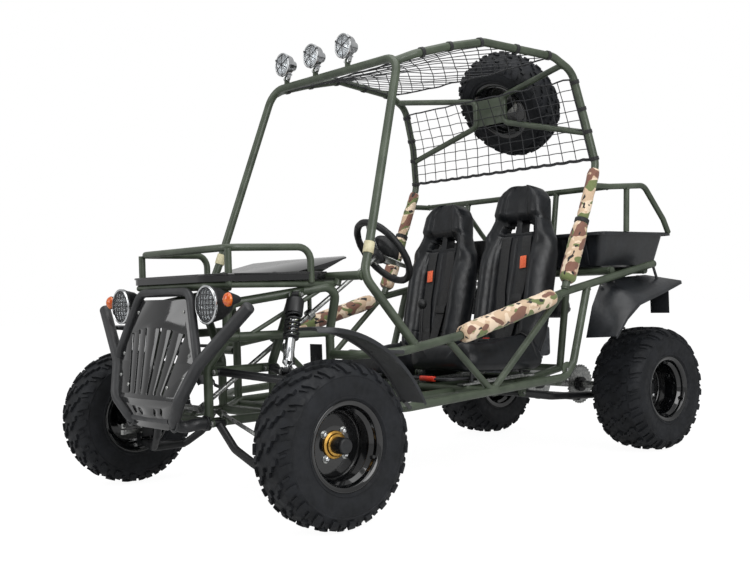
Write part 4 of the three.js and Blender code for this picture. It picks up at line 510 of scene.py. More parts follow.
def bumped(tree, shader, height, depth):
    """A bump of the given depth in millimetres, over any bump that is there already."""
    bump = node(tree, "ShaderNodeBump", Height=height, Distance=depth * MM, Strength=1.0)
    if shader.inputs["Normal"].links:
        tree.links.new(shader.inputs["Normal"].links[0].from_socket, bump.inputs["Normal"])
    tree.links.new(bump.outputs["Normal"], shader.inputs["Normal"])


def surface(name, shades, patch, roughness=None, speck=0, bumps=(), patch_detail=2.0, **shader):
    """A finish whose shade drifts over patches and whose gloss drifts over specks, both sizes in
    millimetres; each bump is a grain's size, detail and depth, and its stretch if it has one."""
    material, tree, made = finish_of(name, **shader)
    shaded(tree, made, ranged(tree, grain(tree, patch, patch_detail), 0, 1), *shades)
    if roughness:
        rough(tree, made, grain(tree, speck), *roughness)
    for size, detail, depth, *stretch in bumps:
        bumped(tree, made, grain(tree, size, detail, *stretch), depth)
    return material


def powder_coat(name, shades, roughness):
    """Powder coat on steel: even colour, satin, with orange peel about two millimetres across."""
    return surface(name, shades, 70, roughness, 70 / 3, [(2.2, 1.0, 0.05)])


olive_coat = powder_coat("olive powder coat", olive_shades, (0.3, 0.42))


def lug(piece, centre, axis, gap, foot, finish, radius=13, wall=5, steps=10):
    """Two round ended ears with a hexagon bolt and nut through them."""
    way = Vector(axis).normalized()
    centre, foot = Vector(centre), Vector(foot)
    base = foot - way * (foot - centre).dot(way)
    up = (centre - base).normalized()
    wide = up.cross(way).normalized()
    for side in (-1, 1):
        points = []
        for depth in (0, wall):
            out = way * side * (gap / 2 + 0.5 + depth)
            points += [base + out + wide * radius, base + out - wide * radius]
            for i in range(steps + 1):
                angle = math.pi * i / steps
                across, rise = wide * radius * math.cos(angle), up * radius * math.sin(angle)
                points.append(centre + out + across + rise)
        piece.add(hull_of(points), finish)
    reach = gap / 2 + wall + 0.5
    head = [(0, reach), (9, reach), (9, reach + 5.5), (0, reach + 6.5)]
    washer = collar_of(0, 11, reach - 1, reach + 1.2)
    for sign in (1, -1):
        piece.lathe(head, aimed(centre, way * sign), zinc_plate, 6, 1)
        piece.lathe(washer, aimed(centre, way * sign), zinc_plate, 24)
    piece.add(rod(centre - way * (reach + 3), centre + way * (reach + 9), 5, 12), zinc_plate)


def plated(name, shades, roughness, scratch=0.02):
    """Zinc plated steel: bright and faintly cloudy, brushed by the tool that finished it."""
    brushed = (1.5, 3.0, scratch, (1, 1, 6))
    return surface(name, shades, 14, roughness, 5, [brushed], Metallic=1.0)


zinc_plate = plated("zinc plated steel", (0x8b8d8c, 0xb2b3b0), (0.25, 0.4))

# The chassis carries everything: two lower rails, the nose frame, the floor pan, the seat rails,
# the engine's cross tubes and the rear frame under the box. Its tubes meet in welded joints.
floor_start, floor_end = (300, 322), (1330, 345)
top_front, dash_corner = (240, -100, 712), (350, 292, 766)
box_tube_z = 795.7
dash_y, dash_z = 303, 797
swing_pivot = (1332, 290)
shock_top, rear_shock_top = Vector((340, 118, 736)), (320, 2000, 716)
shock_foot = Vector((428, 5, 487))
front_axis = Vector((0, 0, 1)).cross(shock_foot - shock_top).normalized()
wheel_centre, pinion_spot = Vector((230, 620, 890)), Vector((96, -117, 361.5))


def floor_height(y):
    return on_line([floor_start, floor_end], y, 0)[1]


def top_rail_at(y):
    return on_line([top_front, dash_corner], y)


def cross_tube(tubing, half, y, z, radius=main_tube):
    """A tube across the kart, welded at both ends."""
    tubing.run([(-half, y, z), (half, y, z)], radius)
    tubing.weld((half - 0.75 * radius, y, z), (half + radius, y, z), radius)


def chassis_tubes():
    tubes = Tubing()
    both = tubes.both
    both([(165, -150, 311), (165, 150, 311), (300, 300, 322), (300, 1330, 345), (240, 1640, 372)],
         main_tube, 70)
    both([(165, -134, 311), (165, -134, 499), (240, -100, 600), top_front, dash_corner,
          (300, 292, 600),
          (300, 292, 322)], main_tube, 45)
    both([(165, 134, 311), (165, 134, 499), top_rail_at(134)], main_tube, 45)
    both([(240, -100, 600), (300, 292, 600)], main_tube)
    both([(165, -134, 483), (165, 134, 483)], main_tube)
    both([(251, -27, 600), top_rail_at(245)], brace_tube)
    both([dash_corner, (350, dash_y, dash_z)], mid_tube)
    both([(240, 1640, 372), (320, 1600, 700), (320, 1600, box_tube_z), (320, 2030, box_tube_z)],
         main_tube, 60)
    for y in (-134, 134):
        cross_tube(tubes, 165, y, 311)
        tubes.weld((165, y, 311 + main_tube), (165, y, 400), main_tube)
    cross_tube(tubes, 165, -134, 483, mid_tube)
    cross_tube(tubes, 240, -100, 712, mid_tube)
    cross_tube(tubes, 484, dash_y, dash_z)
    cross_tube(tubes, 265, 262, 316, mid_tube)
    for y in (905, 1275):
        cross_tube(tubes, 533.7, y, floor_height(y) + 10)
    cross_tube(tubes, 240, 1640, 372)
    cross_tube(tubes, 284, 1450, 350)
    for y in (1650, 1890):
        cross_tube(tubes, 533.7, y, box_tube_z)
    tubes.weld((300, 292, 600 - main_tube), (300, 292, 500), main_tube)
    tubes.weld((246, -62, 600), (300, 292, 600), main_tube)
    return tubes


def hood_rack_tubes():
    """The rail round the hood and the luggage rack that stands on it."""
    tubes = Tubing()
    loop = [(337, 188, 777), (337, 188, 901), (292, -122, 901)]
    tubes.run(arch(loop), rack_tube, 48)
    tubes.both([(292, -122, 777), (292, -122, 898)], rack_tube)
    rail = [(339, 292, 771), (292, -122, 777), (227, -172, 777)]
    tubes.run(arch(rail), 11, 30)
    return tubes


def chassis():
    piece = Piece("chassis_tubes")
    piece.add(chassis_tubes().mesh(olive_coat))
    piece.add(hood_rack_tubes().mesh(olive_coat))
    ends = floor_start[0], floor_end[0]
    pan = [(y, floor_height(y) - drop) for y in ends for drop in (8, 13)]
    piece.add(prism((-300, 300), pan), olive_coat)
    for x in (365, 95, -95, -365):
        for offset, wide, low, high in ((-14, 2, 26, 34), (14, 2, 26, 34), (0, 14, 31.5, 34)):
            rail = [(y, floor_height(y) + z) for y in (880, 1300) for z in (low, high)]
            piece.add(prism((x + offset - wide, x + offset + wide), rail), zinc_plate)
    for side in (1, -1):
        for y in (-119, 119):
            lug(piece, (side * 200, y, 311), (0, 1, 0), 40, (side * 165, y, 311), olive_coat)
        for y in (-105, 105):
            lug(piece, (side * 200, y, 483), (0, 1, 0), 40, (side * 165, y, 483), olive_coat)
        ear = top_rail_at(157)
        ears = mirrored([shock_top, rear_shock_top], side)
        feet = mirrored([ear, (320, 2000, box_tube_z)], side)
        lug(piece, ears[0], front_axis * Vector((1, side, 1)), 26, feet[0], olive_coat)
        lug(piece, ears[1], (1, 0, 0), 26, feet[1], olive_coat)
        middle, (y, z) = side * 284, swing_pivot
        hanger = [(y + sign * half, level) for half, level in ((20, 345), (16, z), (9, 276))
                  for sign in (-1, 1)]
        piece.add(prism((middle - 8, middle + 8), hanger), olive_coat)
        piece.add(rod((side * 236, y, z), (side * 298, y, z), 6), zinc_plate)
    for x in (120, 285):
        lug(piece, (x, 262, 372), (1, 0, 0), 26, (x, 262, 316), olive_coat)
    lug(piece, (0, 1005, 392), (1, 0, 0), 13, (0, 1005, 330), olive_coat)
    piece.add(rod((-118, -105, 346), (72, -105, 346), 14), zinc_plate)
    for x in (-36, 36):
        piece.add(rod((x, -134, 311), (x, -105, 346), 8), olive_coat)
    ring_spot = on_line([pinion_spot, wheel_centre], dash_y)
    ring = collar_of(9.8, 20, -12, 12)
    piece.lathe(ring, aimed(ring_spot, wheel_centre - pinion_spot), zinc_plate, 28, 1.5)
    piece.add(rod(ring_spot + Vector((0, 0, 16)), (ring_spot.x, dash_y, 784), 8), olive_coat)
    return piece.fit("chassis", "frame_paint", ["chassis_frame"])


chassis()

# Each side frame is one long bar over a sill, tied by a bent vee and bolted to a round gusset
# plate at the sill's kick. The person gets in over it, so the long bar is padded.
side_half = 550
bar_start, bar_bend, bar_joint, bar_end = (400, 527), (686, 566), (1322, 716), (1923, 822)


def bar_at(y):
    """A point on the long side bar's middle line."""
    return on_line([(side_half, *spot) for spot in (bar_start, bar_bend, bar_joint, bar_end)], y)


def side_frame(side, label):
    tubes = Tubing()
    out = side_half
    sill_front, sill_rear, kick = (out, 430, 333), (out, 1290, 371), Vector((out, 1345, 425))
    bar = [(316.3, 292, 520), (430, 296, 520)]
    bar += [(out, *spot) for spot in (bar_start, bar_bend, bar_joint, bar_end)]
    sill = [(316.3, 292, 322), (430, 292, 322), sill_front, sill_rear, kick, bar_at(1455)]
    vee = [bar_at(632), on_line([sill_front, sill_rear], 858), bar_at(1290)]
    tubes.run(mirrored(bar, side), main_tube, 90)
    tubes.run(mirrored(sill, side), main_tube, 60)
    tubes.run(mirrored(vee, side), mid_tube, 30)
    for start, end in ((vee[0], vee[1]), (vee[2], vee[1]), (bar_at(1455), kick)):
        spot = start + (end - start).normalized() * (main_tube * 1.15)
        tubes.weld(*mirrored([spot, end], side), mid_tube if end is vee[1] else main_tube,
                   both=False)
    piece = Piece(f"side_frame_tubes_{label}")
    piece.add(tubes.mesh(olive_coat))
    disc = collar_of(0, 30, -3, 3)
    piece.lathe(disc, aimed((side * out, 1305, 402), (1, 0, 0)), olive_coat, 40, 1)
    head = [(0, 3), (9, 3), (9, 9), (0, 10)]
    piece.lathe(head, aimed((side * out, 1300, 400), (side, 0, 0)), zinc_plate, 6, 1)
    cap = [(0, 0), (16.6, 0), (16.6, 5), (12, 8), (0, 8)]
    end_way = Vector((0, 601, 106))
    piece.lathe(cap, aimed((side * out, *bar_end), end_way), black_plastic, 24, 1.5)
    return piece.fit("chassis", "frame_paint", [f"side_frame_{label}"])


def moulded(name, shades, roughness, pebble=1.2, depth=0.05):
    """Moulded plastic or rubber: even colour, and a fine pebble grain from the mould."""
    return surface(name, shades, 25, roughness, 9, [(pebble, 1.0, depth)], Specular_IOR_Level=0.45)


black_plastic = moulded("black polypropylene", (0x131415, 0x1d1e20), (0.42, 0.58))
for side, label in SIDES:
    side_frame(side, label)

# The roll cage is a front hoop, two roof rails that come down behind the seats, an X brace with a
# plate for the spare wheel, and the luggage rack. A pale sleeve marks the joint on each front leg.
cage_knee, sleeve_base, hoop_top = (484, 303, 797), (475, 333, 872), (396, 580, 1606)
roof_lamp = {"xs": (-297, -102, 103), "face": 562, "z": 1698, "pivot": (580, 1640)}
roof_rail = [(380, 580, 1590), (420, 640, 1616), (432, 786, 1657), (446, 985, 1700),
             (500, 1345, 1677), (511, 1450, 1625), (524, 1508, 1430), (548, 1542, 1241)]
rack_z = 1150
sleeve_shades = (0xb9b18f, 0xcfc8a6)


def pillar_at(z):
    top = Vector(roof_rail[-1])
    return on_line([bar_at(1302).lerp(top, 12 / top.z), top], z, 2)


def cage_tubes():
    tubes = Tubing()
    leg_foot = bar_at(480).lerp(Vector(cage_knee), 12 / 797)
    leg = [tuple(leg_foot), cage_knee, sleeve_base, hoop_top]
    tubes.run(arch(leg), main_tube, 75)
    tubes.both(roof_rail + [tuple(pillar_at(bar_at(1302).z + 12))], main_tube, 95)
    tubes.both([(506, 1400, 1650), (86.5, 1500, 1598), (86.5, 1500, 1480), (531, 1519, 1372)],
               mid_tube, 30)
    top = [tuple(pillar_at(rack_z)), (553, 1621, rack_z), (553, 1870, 1165), (553, 2010, 1020),
           (543.5, 2060, 962.5)]
    tubes.both(top, rack_tube, 60)
    tubes.both([(270, 1621, rack_z), (270, 1589, 962.5)], rack_tube)
    tubes.both([(553, 1745, rack_z + 7), (543.5, 1745, 962.5)], rack_tube)
    tubes.run([(-553, 1621, rack_z), (553, 1621, rack_z)], rack_tube)
    for spot, towards, radius in (
        ((270, 1619, rack_z - 12), (270, 1589, 960), rack_tube),
        ((553, 1745, rack_z - 4), (545, 1745, 960), rack_tube),
        ((541, 1621, rack_z), (0, 1621, rack_z), rack_tube),
        ((497, 1403, 1646), (86, 1500, 1598), mid_tube),
        ((522, 1519, 1373), (86, 1500, 1480), mid_tube),
    ):
        tubes.weld(spot, towards, radius)
    foot, knee = leg_foot, Vector(cage_knee)
    spot = foot + (knee - foot).normalized() * 14
    tubes.weld(tuple(spot), tuple(knee), main_tube)
    spot = pillar_at(bar_at(1302).z + 20)
    tubes.weld(tuple(spot), tuple(pillar_at(900)), main_tube)
    return tubes


def roll_cage():
    piece = Piece("roll_cage_tubes")
    piece.add(cage_tubes().mesh(olive_coat))
    piece.add(block((0, 1500, 1539), (173, 6, 118), 2), olive_coat)
    collar = collar_of(15.9, 19.4, 0, 42)
    way = Vector(hoop_top) - Vector(sleeve_base)
    for side in (1, -1):
        spot, out = mirrored([sleeve_base, way], side)
        piece.lathe(collar, aimed(spot, out), pale_sleeve, 32, 1)
    y = roof_lamp["pivot"][0]
    ear = [(y + sign * half, z) for half, z in ((11, 1612), (10, 1640), (6, 1650))
           for sign in (-1, 1)]
    for x in roof_lamp["xs"]:
        piece.add(prism((x - 4.5, x + 4.5), ear), olive_coat)
    return piece.fit("chassis", "frame_paint", ["roll_cage"])


pale_sleeve = moulded("pale cast sleeve", sleeve_shades, (0.4, 0.55), 2.0)
roll_cage()

# The tyres are moulded black rubber with a faint blue cast, dull and slightly dusty. Rows of bent
# lugs run over the crown and wrap round the shoulder; the sidewall is smooth, with moulded rings.
front_wheel = {"radius": 266, "half": 89, "lugs": 22, "x": 665, "rim_half": 79}
rear_wheel = {"radius": 272, "half": 125, "lugs": 22, "x": 493, "rim_half": 114}
spare_tyre = {"radius": 250, "half": 78, "lugs": 22, "rim_half": 70}
rear_axle_y = 1932
rim_radius, bead_radius = 142, 127
lug_height = 10
# The kinds of lug: how far each stops short of the full height, and its rows, as shares of the
# half width and of the pitch.
lug_kinds = {
    0: [(0.05, -0.46, -0.16), (0.2, -0.42, -0.1), (0.26, -0.2, 0.1), (0.36, -0.16, 0.14),
        (0.42, 0.06, 0.34), (0.6, 0.12, 0.4)],
    1: [(0.66, -0.38, 0.02), (0.78, -0.32, 0.1), (0.9, -0.22, 0.18), (1.0, -0.16, 0.2),
        (1.07, -0.12, 0.2)],
    4: [(0.68, 0.36, 0.5), (0.82, 0.42, 0.56), (0.95, 0.46, 0.6)],
}


def carcass_of(radius, half, rim_half, **_):
    """The outer skin from the crown's middle out to the bead, as [radius, distance from it]."""
    crown = radius - lug_height
    side = half - rim_half
    return [
        (crown, 0), (crown - 0.6, half * 0.25), (crown - 2.5, half * 0.48),
        (crown - 6.5, half * 0.66), (crown - 13, half * 0.8), (crown - 22, half * 0.9),
        (crown - 34, half * 0.965), (crown - 36, half * 0.985), (crown - 39, half * 0.985),
        (crown - 41, half * 0.97), (crown - 56, half), (crown - 75, half * 0.99),
        (rim_radius + 22, half - side * 0.45), (rim_radius + 13, half - side * 0.6),
        (rim_radius + 11, half - side * 0.4), (rim_radius + 7, half - side * 0.4),
        (rim_radius + 4, half - side * 0.8), (rim_radius + 0.5, rim_half - 2),
        (rim_radius - 2, rim_half - 5), (bead_radius, rim_half - 6.5),
    ]


def skin_at(skin, along):
    """The skin's point and outward direction at a distance from the crown's middle."""
    for (r0, x0), (r1, x1) in zip(skin, skin[1:]):
        step = math.hypot(r1 - r0, x1 - x0)
        if along <= step:
            share = along / step
            spot = (r0 + (r1 - r0) * share, x0 + (x1 - x0) * share)
            return spot, ((x1 - x0) / step, (r0 - r1) / step)
        along -= step
    return skin[-1], (0, 1)


def lug_mesh(skin, rows, height, sink=3, draft=1.6):
    """One lug from its rows: how far each lies from the crown's middle, and its two edges."""
    points, faces = [], []
    for index, (along, low, high) in enumerate(rows):
        (radius, x), (up, out) = skin_at(skin, along)
        inset = draft * (1 if index == 0 else -1 if index == len(rows) - 1 else 0)
        (_, x_in), _ = skin_at(skin, along + inset)
        for lift, shift, x_here in ((height, draft, x_in), (-sink, 0, x)):
            r = radius + up * lift
            for u in (low + shift, high - shift):
                angle = u / radius
                points.append((x_here + out * lift, r * math.sin(angle), r * math.cos(angle)))
    for i in range(len(rows) - 1):
        a, b = 4 * i, 4 * i + 4
        faces += [(a, b, b + 1, a + 1), (a + 1, b + 1, b + 3, a + 3), (a + 3, b + 3, b + 2, a + 2),
                  (a + 2, b + 2, b, a)]
    last = 4 * (len(rows) - 1)
    faces += [(0, 1, 3, 2), (last, last + 2, last + 3, last + 1)]
    return closed(points, faces)


def round_tree():
    """Copies of the seed stand round the X axis, the first turned by the given start."""
    tree, sizes = tree_with("round the axle", Count="Int", Start="Float")
    line = node(tree, "GeometryNodeMeshLine", Count=sizes["Count"], Offset=(0, 0, 0))
    index = node(tree, "GeometryNodeInputIndex").outputs[0]
    turn = node(tree, "ShaderNodeMath", {"operation": "DIVIDE"})
    turn.inputs[0].default_value = 2 * math.pi
    tree.links.new(sizes["Count"], turn.inputs[1])
    angle = node(tree, "ShaderNodeMath", {"operation": "MULTIPLY_ADD"})
    tree.links.new(index, angle.inputs[0])
    tree.links.new(turn.outputs[0], angle.inputs[1])
    tree.links.new(sizes["Start"], angle.inputs[2])
    way = node(tree, "FunctionNodeAxisAngleToRotation", Axis=(1, 0, 0), Angle=angle.outputs[0])
    copies = node(tree, "GeometryNodeInstanceOnPoints", Points=line.outputs["Mesh"],
                  Instance=sizes["Geometry"], Rotation=way.outputs[0])
    end_tree(tree, copies.outputs[0], sizes["Material"])
    return tree


ROUND = round_tree()


def ringed(seed, count, finish, start=0.0):
    return grown(ROUND, seed, {"Count": count, "Start": start, "Material": finish})


tyre_rubber = surface("moulded tyre rubber", (0x121417, 0x1c1e22), 60, (0.58, 0.74), 18,
                      [(1.6, 2.0, 0.12)], patch_detail=3.0, Specular_IOR_Level=0.3)


def tyre_parts(piece, size, turn):
    """The carcass, its lugs and the vent ribs on its shoulder, round the X axis and then placed."""
    skin = carcass_of(**size)
    inner = [(r - 9 if r > rim_radius + 6 else r + 0.1, x * 0.9) for r, x in skin
             if r > rim_radius + 20]
    outline = [(r, x) for r, x in reversed(skin)] + [(r, -x) for r, x in skin[1:]]
    outline += [(r, -x) for r, x in reversed(inner)] + [(r, x) for r, x in inner[1:]]
    lie = turn @ Matrix.Rotation(math.pi / 2, 4, "Y")
    piece.lathe(outline, lie, tyre_rubber, 96)
    pitch = 2 * math.pi * (size["radius"] - lug_height) / size["lugs"]
    half = size["half"]
    flip = Matrix.Rotation(math.pi, 4, "Z")
    for short, shares in lug_kinds.items():
        rows = [(half * a, low * pitch, high * pitch) for a, low, high in shares]
        for other, start in ((None, 0.0), (flip, pitch / 2 / size["radius"])):
            seed = lug_mesh(skin, rows, lug_height - short)
            if other:
                seed.transform(other)
            piece.add(ringed(seed, size["lugs"], tyre_rubber, start), turn=turn)


def tyre(name, size, side, body):
    piece = Piece(f"{name}_tread")
    flip = Matrix.Rotation(0 if side > 0 else math.pi, 4, "Z")
    y = 0 if size is front_wheel else rear_axle_y
    tyre_parts(piece, size, Matrix.Translation((side * size["x"], y, size["radius"])) @ flip)
    return piece.fit(body, "tyre_rubber", [name])


for side, label in SIDES:
    tyre(f"front_tyre_{label}", front_wheel, side, f"front_wheel_{label}")
    tyre(f"rear_tyre_{label}", rear_wheel, side, "rear_axle")

# The rims are pressed from sheet steel in two halves: a deep stepped dish and a flat centre, in
# gloss black. Four chromed nuts hold each to its hub, and a valve stands in the outer step.
gloss_black = surface("gloss black powder coat", (0x060708, 0x0c0d0f), 40, (0.07, 0.14), 12,
                      [(3.0, 1.0, 0.02)], Coat_Weight=0.6, Coat_Roughness=0.06)
chrome = plated("chromed steel", (0xc2c4c6, 0xdadcdd), (0.06, 0.14), 0.004)
cast_black = moulded("black cast iron", (0x141517, 0x1d1f21), (0.38, 0.5), 2.5, 0.08)


def rim_outline(half, dish):
    """The rim's wall as one ring, with its flat centre set in by the dish from the outer edge."""
    face = half - dish
    return [
        (142.5, half - 1.5), (143, half - 3), (141, half - 4), (127, half - 6), (126, half - 20),
        (113, half - 30), (112, -half + 30), (126, -half + 20), (127, -half + 6), (141, -half + 4),
        (143, -half + 3), (142.5, -half + 0.5), (138, -half), (122, -half + 4), (121.5, -half + 22),
        (108, -half + 32), (108, face - 18), (104, face - 15), (96, face - 8), (60, face - 4),
        (20, face - 4), (20, face), (60, face), (97, face - 4), (106, face - 10), (108.5, face - 6),
        (108.5, half - 33), (121, half - 22), (123, half - 12), (127, half - 5), (134, half - 1.5),
        (140, half),
    ]


def hex_nut(spot, axis, size, height, finish, piece):
    outline = [(0, 0), (size, 0), (size, height), (size * 0.55, height + 3), (0, height + 4)]
    piece.lathe(outline, aimed(spot, axis), finish, 6, 1)


def facing(spot, side):
    """A wheel's frame, with its Z axis out of the kart's side."""
    return Matrix.Translation(spot) @ Matrix.Rotation(side * math.pi / 2, 4, "Y")


def rim_parts(piece, half, dish, spot, side, nuts_radius=54):
    lie = facing(spot, side)
    piece.lathe(rim_outline(half, dish), lie, gloss_black, 72, 1.6, 2)
    face = half - dish
    for i in range(4):
        angle = math.pi * (i / 2 + 0.27)
        y, z = nuts_radius * math.cos(angle), nuts_radius * math.sin(angle)
        nut = Vector(spot) + Vector((side * face, y, z))
        piece.lathe(collar_of(0, 13, 0, 2), aimed(nut, (side, 0, 0)), zinc_plate, 24)
        hex_nut(nut, (side, 0, 0), 9.5, 10, chrome, piece)
    stem = Vector(spot) + Vector((side * (half - 20), 104, -46))
    piece.add(rod(stem, stem + Vector((side * 16, -5, 2)), 4.5, 12), black_plastic)
    start, end = stem + Vector((side * 14, -4.4, 1.8)), stem + Vector((side * 24, -7, 3))
    piece.add(rod(start, end, 5.5, 12), black_plastic)


def front_rim(label, side):
    piece = Piece(f"front_rim_pressed_{label}")
    spot = (side * front_wheel["x"], 0, front_wheel["radius"])
    rim_parts(piece, front_wheel["rim_half"], 71, spot, side)
    hub = [(13.5, -64), (40, -64), (40, -40), (30, -34), (30, 4), (13.5, 4)]
    lie = facing(spot, side)
    piece.lathe(hub, lie, cast_black, 48, 2)
    flange = [(24, 7.8), (44, 7.8), (44, 13), (36, 15), (34, 22), (24, 24)]
    piece.lathe(flange, lie, gold_zinc, 56, 1.2)
    cap = [(0, 70), (22, 70), (26, 65), (27, 12), (22, 12), (22, 62), (0, 62)]
    piece.lathe(cap, lie, cast_black, 40, 2)
    return piece.fit(f"front_wheel_{label}", "rim_gloss", [f"front_rim_{label}"])


gold_zinc = plated("yellow passivated zinc", (0xb98a3c, 0xd8ad5e), (0.28, 0.42))
for side, label in SIDES:
    front_rim(label, side)

# The bull bar is thick tube in satin grey black: a hoop round the plate, and two wings that rise
# from the nose with closed round ends. Its plate is folded sheet in gloss black, fanned with slots.
hoop_tube, wing_tube = 15, 21
wing = [(488, -179, 701), (275, -238, 518), (218, -280, 397), (115, -253, 290), (165, -192, 311),
        (165, -150, 311)]
hoop_low, hoop_high = (262, -235, 560), (169, -198, 758)
plate_levels = [(737, -232, -198, 158), (518, -268, -238, 262), (397, -290, -280, 205),
                (290, -253, -253, 104)]
slot_half, slot_low = 6.5, 417
slot_tops = {(0.12, 0.24): 633, (0.33, 0.53): 626, (0.54, 0.82): 612}

wing_paint = powder_coat("satin grey black powder coat", (0x232426, 0x2e2f31), (0.4, 0.52))


def bull_bar():
    tubes = Tubing()
    tubes.both(wing, wing_tube, 75)
    loop = [(272, -237, 522), hoop_low, hoop_high]
    tubes.run(arch(loop), hoop_tube, 55)
    tubes.weld((270, -234, 536), (262, -235, 560), hoop_tube)
    tubes.run([(-125, -262, 326), (125, -262, 326)], 11)
    piece = Piece("bull_bar_tubes")
    piece.add(tubes.mesh(wing_paint, 28))
    way = Vector(wing[0]) - Vector(wing[1])
    angles = [math.pi / 12 * i for i in (5, 4, 3, 2, 1)]
    cap = [(0, 12)] + [(wing_tube * math.cos(a), 12 * math.sin(a)) for a in angles]
    cap += [(wing_tube, 0), (wing_tube, -8), (0, -8)]
    for side in (1, -1):
        end, out = mirrored([wing[0], way], side)
        piece.lathe(cap, aimed(end, out, (1, 0, 0)), wing_paint, 28)
        for y in (-150, -141):
            piece.lathe(collar_of(0, 27, -2.5, 2.5), aimed((side * 165, y, 311), (0, 1, 0)),
                        wing_paint, 32, 1)
        hook = Tubing()
        hook.run([(side * 150 + spot.x, -262, 318 + spot.y) for spot in circle(24, 18)], 5,
                 ring=True)
        piece.add(hook.mesh(wing_paint, 12))
    return piece.fit("chassis", "black_steel", ["bull_bar"])


def plate_depth(x, z):
    """How far forward the folded plate stands, by its ridge and its edge at that height."""
    _, ridge, edge, half = on_line(plate_levels, z, 0)
    return ridge + (edge - ridge) * min(abs(x) / half, 1)


def cut_sheet(outline, holes, wall, edge=0.8):
    """A flat sheet in X and Y with its holes, wall thick, and its cut edges broken."""
    curve = bpy.data.curves.new("sheet", "CURVE")
    curve.dimensions, curve.fill_mode = "2D", "BOTH"
    curve.extrude, curve.bevel_depth, curve.bevel_resolution = wall / 2 - edge, edge, 1
    for ring in (outline, *holes):
        spline = curve.splines.new("POLY")
        spline.points.add(len(ring) - 1)
        for corner, spot in zip(spline.points, ring):
            corner.co = (*spot, 0, 1)
        spline.use_cyclic_u = True
    bench = bpy.data.objects.new("sheet", curve)
    bpy.context.scene.collection.objects.link(bench)
    view = bpy.context.evaluated_depsgraph_get()
    mesh = bpy.data.meshes.new_from_object(bench.evaluated_get(view))
    bpy.data.objects.remove(bench)
    bpy.data.curves.remove(curve)
    shape = bmesh.new()
    shape.from_mesh(mesh)
    bmesh.ops.remove_doubles(shape, verts=shape.verts, dist=0.01)
    return ended(shape, mesh)


def slot_ring(low, high, half, steps=8):
    """A round ended slot between two points of the sheet."""
    low, high = Vector(low), Vector(high)
    way = (high - low).normalized()
    side = Vector((-way.y, way.x))
    ring = []
    for centre, sign in ((high, 1), (low, -1)):
        for i in range(steps + 1):
            a = math.pi * i / steps
            ring.append(tuple(centre + (side * -math.cos(a) + way * math.sin(a)) * half * sign))
    return ring


def rounded_corners(corners, radius, steps=5):
    """The outline with every corner rounded."""
    return rounded_ring([(x + 1e-6, y) for x, y in corners], radius, steps)


def folded(mesh, cuts, place):
    """Cuts the flat sheet along its folds, and moves every point to its place on the folded one."""
    shape = bmesh.new()
    shape.from_mesh(mesh)
    for spot, normal in cuts:
        everything = shape.verts[:] + shape.edges[:] + shape.faces[:]
        bmesh.ops.bisect_plane(shape, geom=everything, plane_co=spot, plane_no=normal, dist=0.001)
    for corner in shape.verts:
        corner.co = place(corner.co)
    return ended(shape, mesh)


def half_at(z):
    return on_line(plate_levels, z, 0)[3]


def grille_plate():
    edge = [(half_at(z) - 4, z) for z in (733, 518, 399)] + [(106, 294)]
    outline = rounded_corners(arch([(-x, z) for x, z in edge]), 12)
    holes = []
    for side in (1, -1):
        for (low, high), top in slot_tops.items():
            holes.append(slot_ring((side * low * half_at(slot_low), slot_low),
                                   (side * high * half_at(top), top), slot_half))
        for x, z in ((44, 352), (88, 356)):
            holes.append(slot_ring((side * x, z - 7), (side * (x + 9), z + 7), 7))
    sheet = cut_sheet(outline, holes, 4.5)
    cuts = [((0, z, 0), (0, 1, 0)) for z in (518, 397)] + [((0, 0, 0), (1, 0, 0))]
    place = lambda p: Vector((p.x, plate_depth(p.x, p.y) - 2 + p.z, p.y))
    piece = Piece("grille_plate_folded")
    piece.add(folded(sheet, cuts, place), gloss_black)
    for side in (1, -1):
        for share, z in ((0.9, 545), (0.9, 470), (0.6, 440), (0.86, 690)):
            x = side * share * half_at(z)
            spot = Vector((x, plate_depth(x, z) - 3, z))
            piece.stud(spot, (0, -1, 0), 7, 3.4, zinc_plate)
    return piece.fit("chassis", "gloss_panel", ["grille_plate"])


bull_bar()
grille_plate()

# The hood is one slab in gloss black over the nose, with a turned down edge. The cowl behind it
# rises to the dash and shades the steering shaft.
hood_top = 815


def hood():
    front = [(227, -190), (308, -137), (352, 256)]
    outline = rounded_corners(arch([(-x, y) for x, y in front]), 26, 6)
    lid = cut_sheet(outline, [], 7, 2.6)
    lid.transform(Matrix.Translation((0, 0, hood_top - 3.5)))
    piece = Piece("hood_moulding")
    piece.add(lid, gloss_black)
    rim, count = [], len(outline)
    lip = ((0.992, 4), (0.992, 27), (0.975, 27), (0.975, 4))
    for x, y in outline:
        rim += [(x * k, y * k, hood_top - drop) for k, drop in lip]
    faces = [(4 * i + j, 4 * ((i + 1) % count) + j, 4 * ((i + 1) % count) + (j + 1) % 4,
              4 * i + (j + 1) % 4)
             for i in range(count) for j in range(4)]
    piece.add(closed(rim, faces), gloss_black)
    cowl = [(300, 150, 815), (300, 380, 868), (200, 452, 876)]
    corners = [Vector((side * x, y, z - drop)) for side in (1, -1) for x, y, z in cowl
               for drop in (0, 6)]
    piece.add(hull_of(corners, 1.5), gloss_black)
    for side in (1, -1):
        cheek = [(150, 811), (378, 864), (256, 811)]
        piece.add(prism((side * 294, side * 300), cheek, 1), gloss_black)
        for y in (-120, 60, 220):
            spot = Vector((side * (300 if y > 0 else 268), y, hood_top - 0.5))
            piece.stud(spot, (0, 0, 1), 8, 2.6, black_plastic)
    return piece.fit("chassis", "gloss_panel", ["hood_panel"])


hood()

# Each headlamp is a black bowl with a bright reflector under fluted glass, a chromed rim and a
# square wire guard. Outboard of it stands a round amber signal on its own black cone.
lamp_spot, signal_spot = (294, -207, 713), (403, -195, 728)

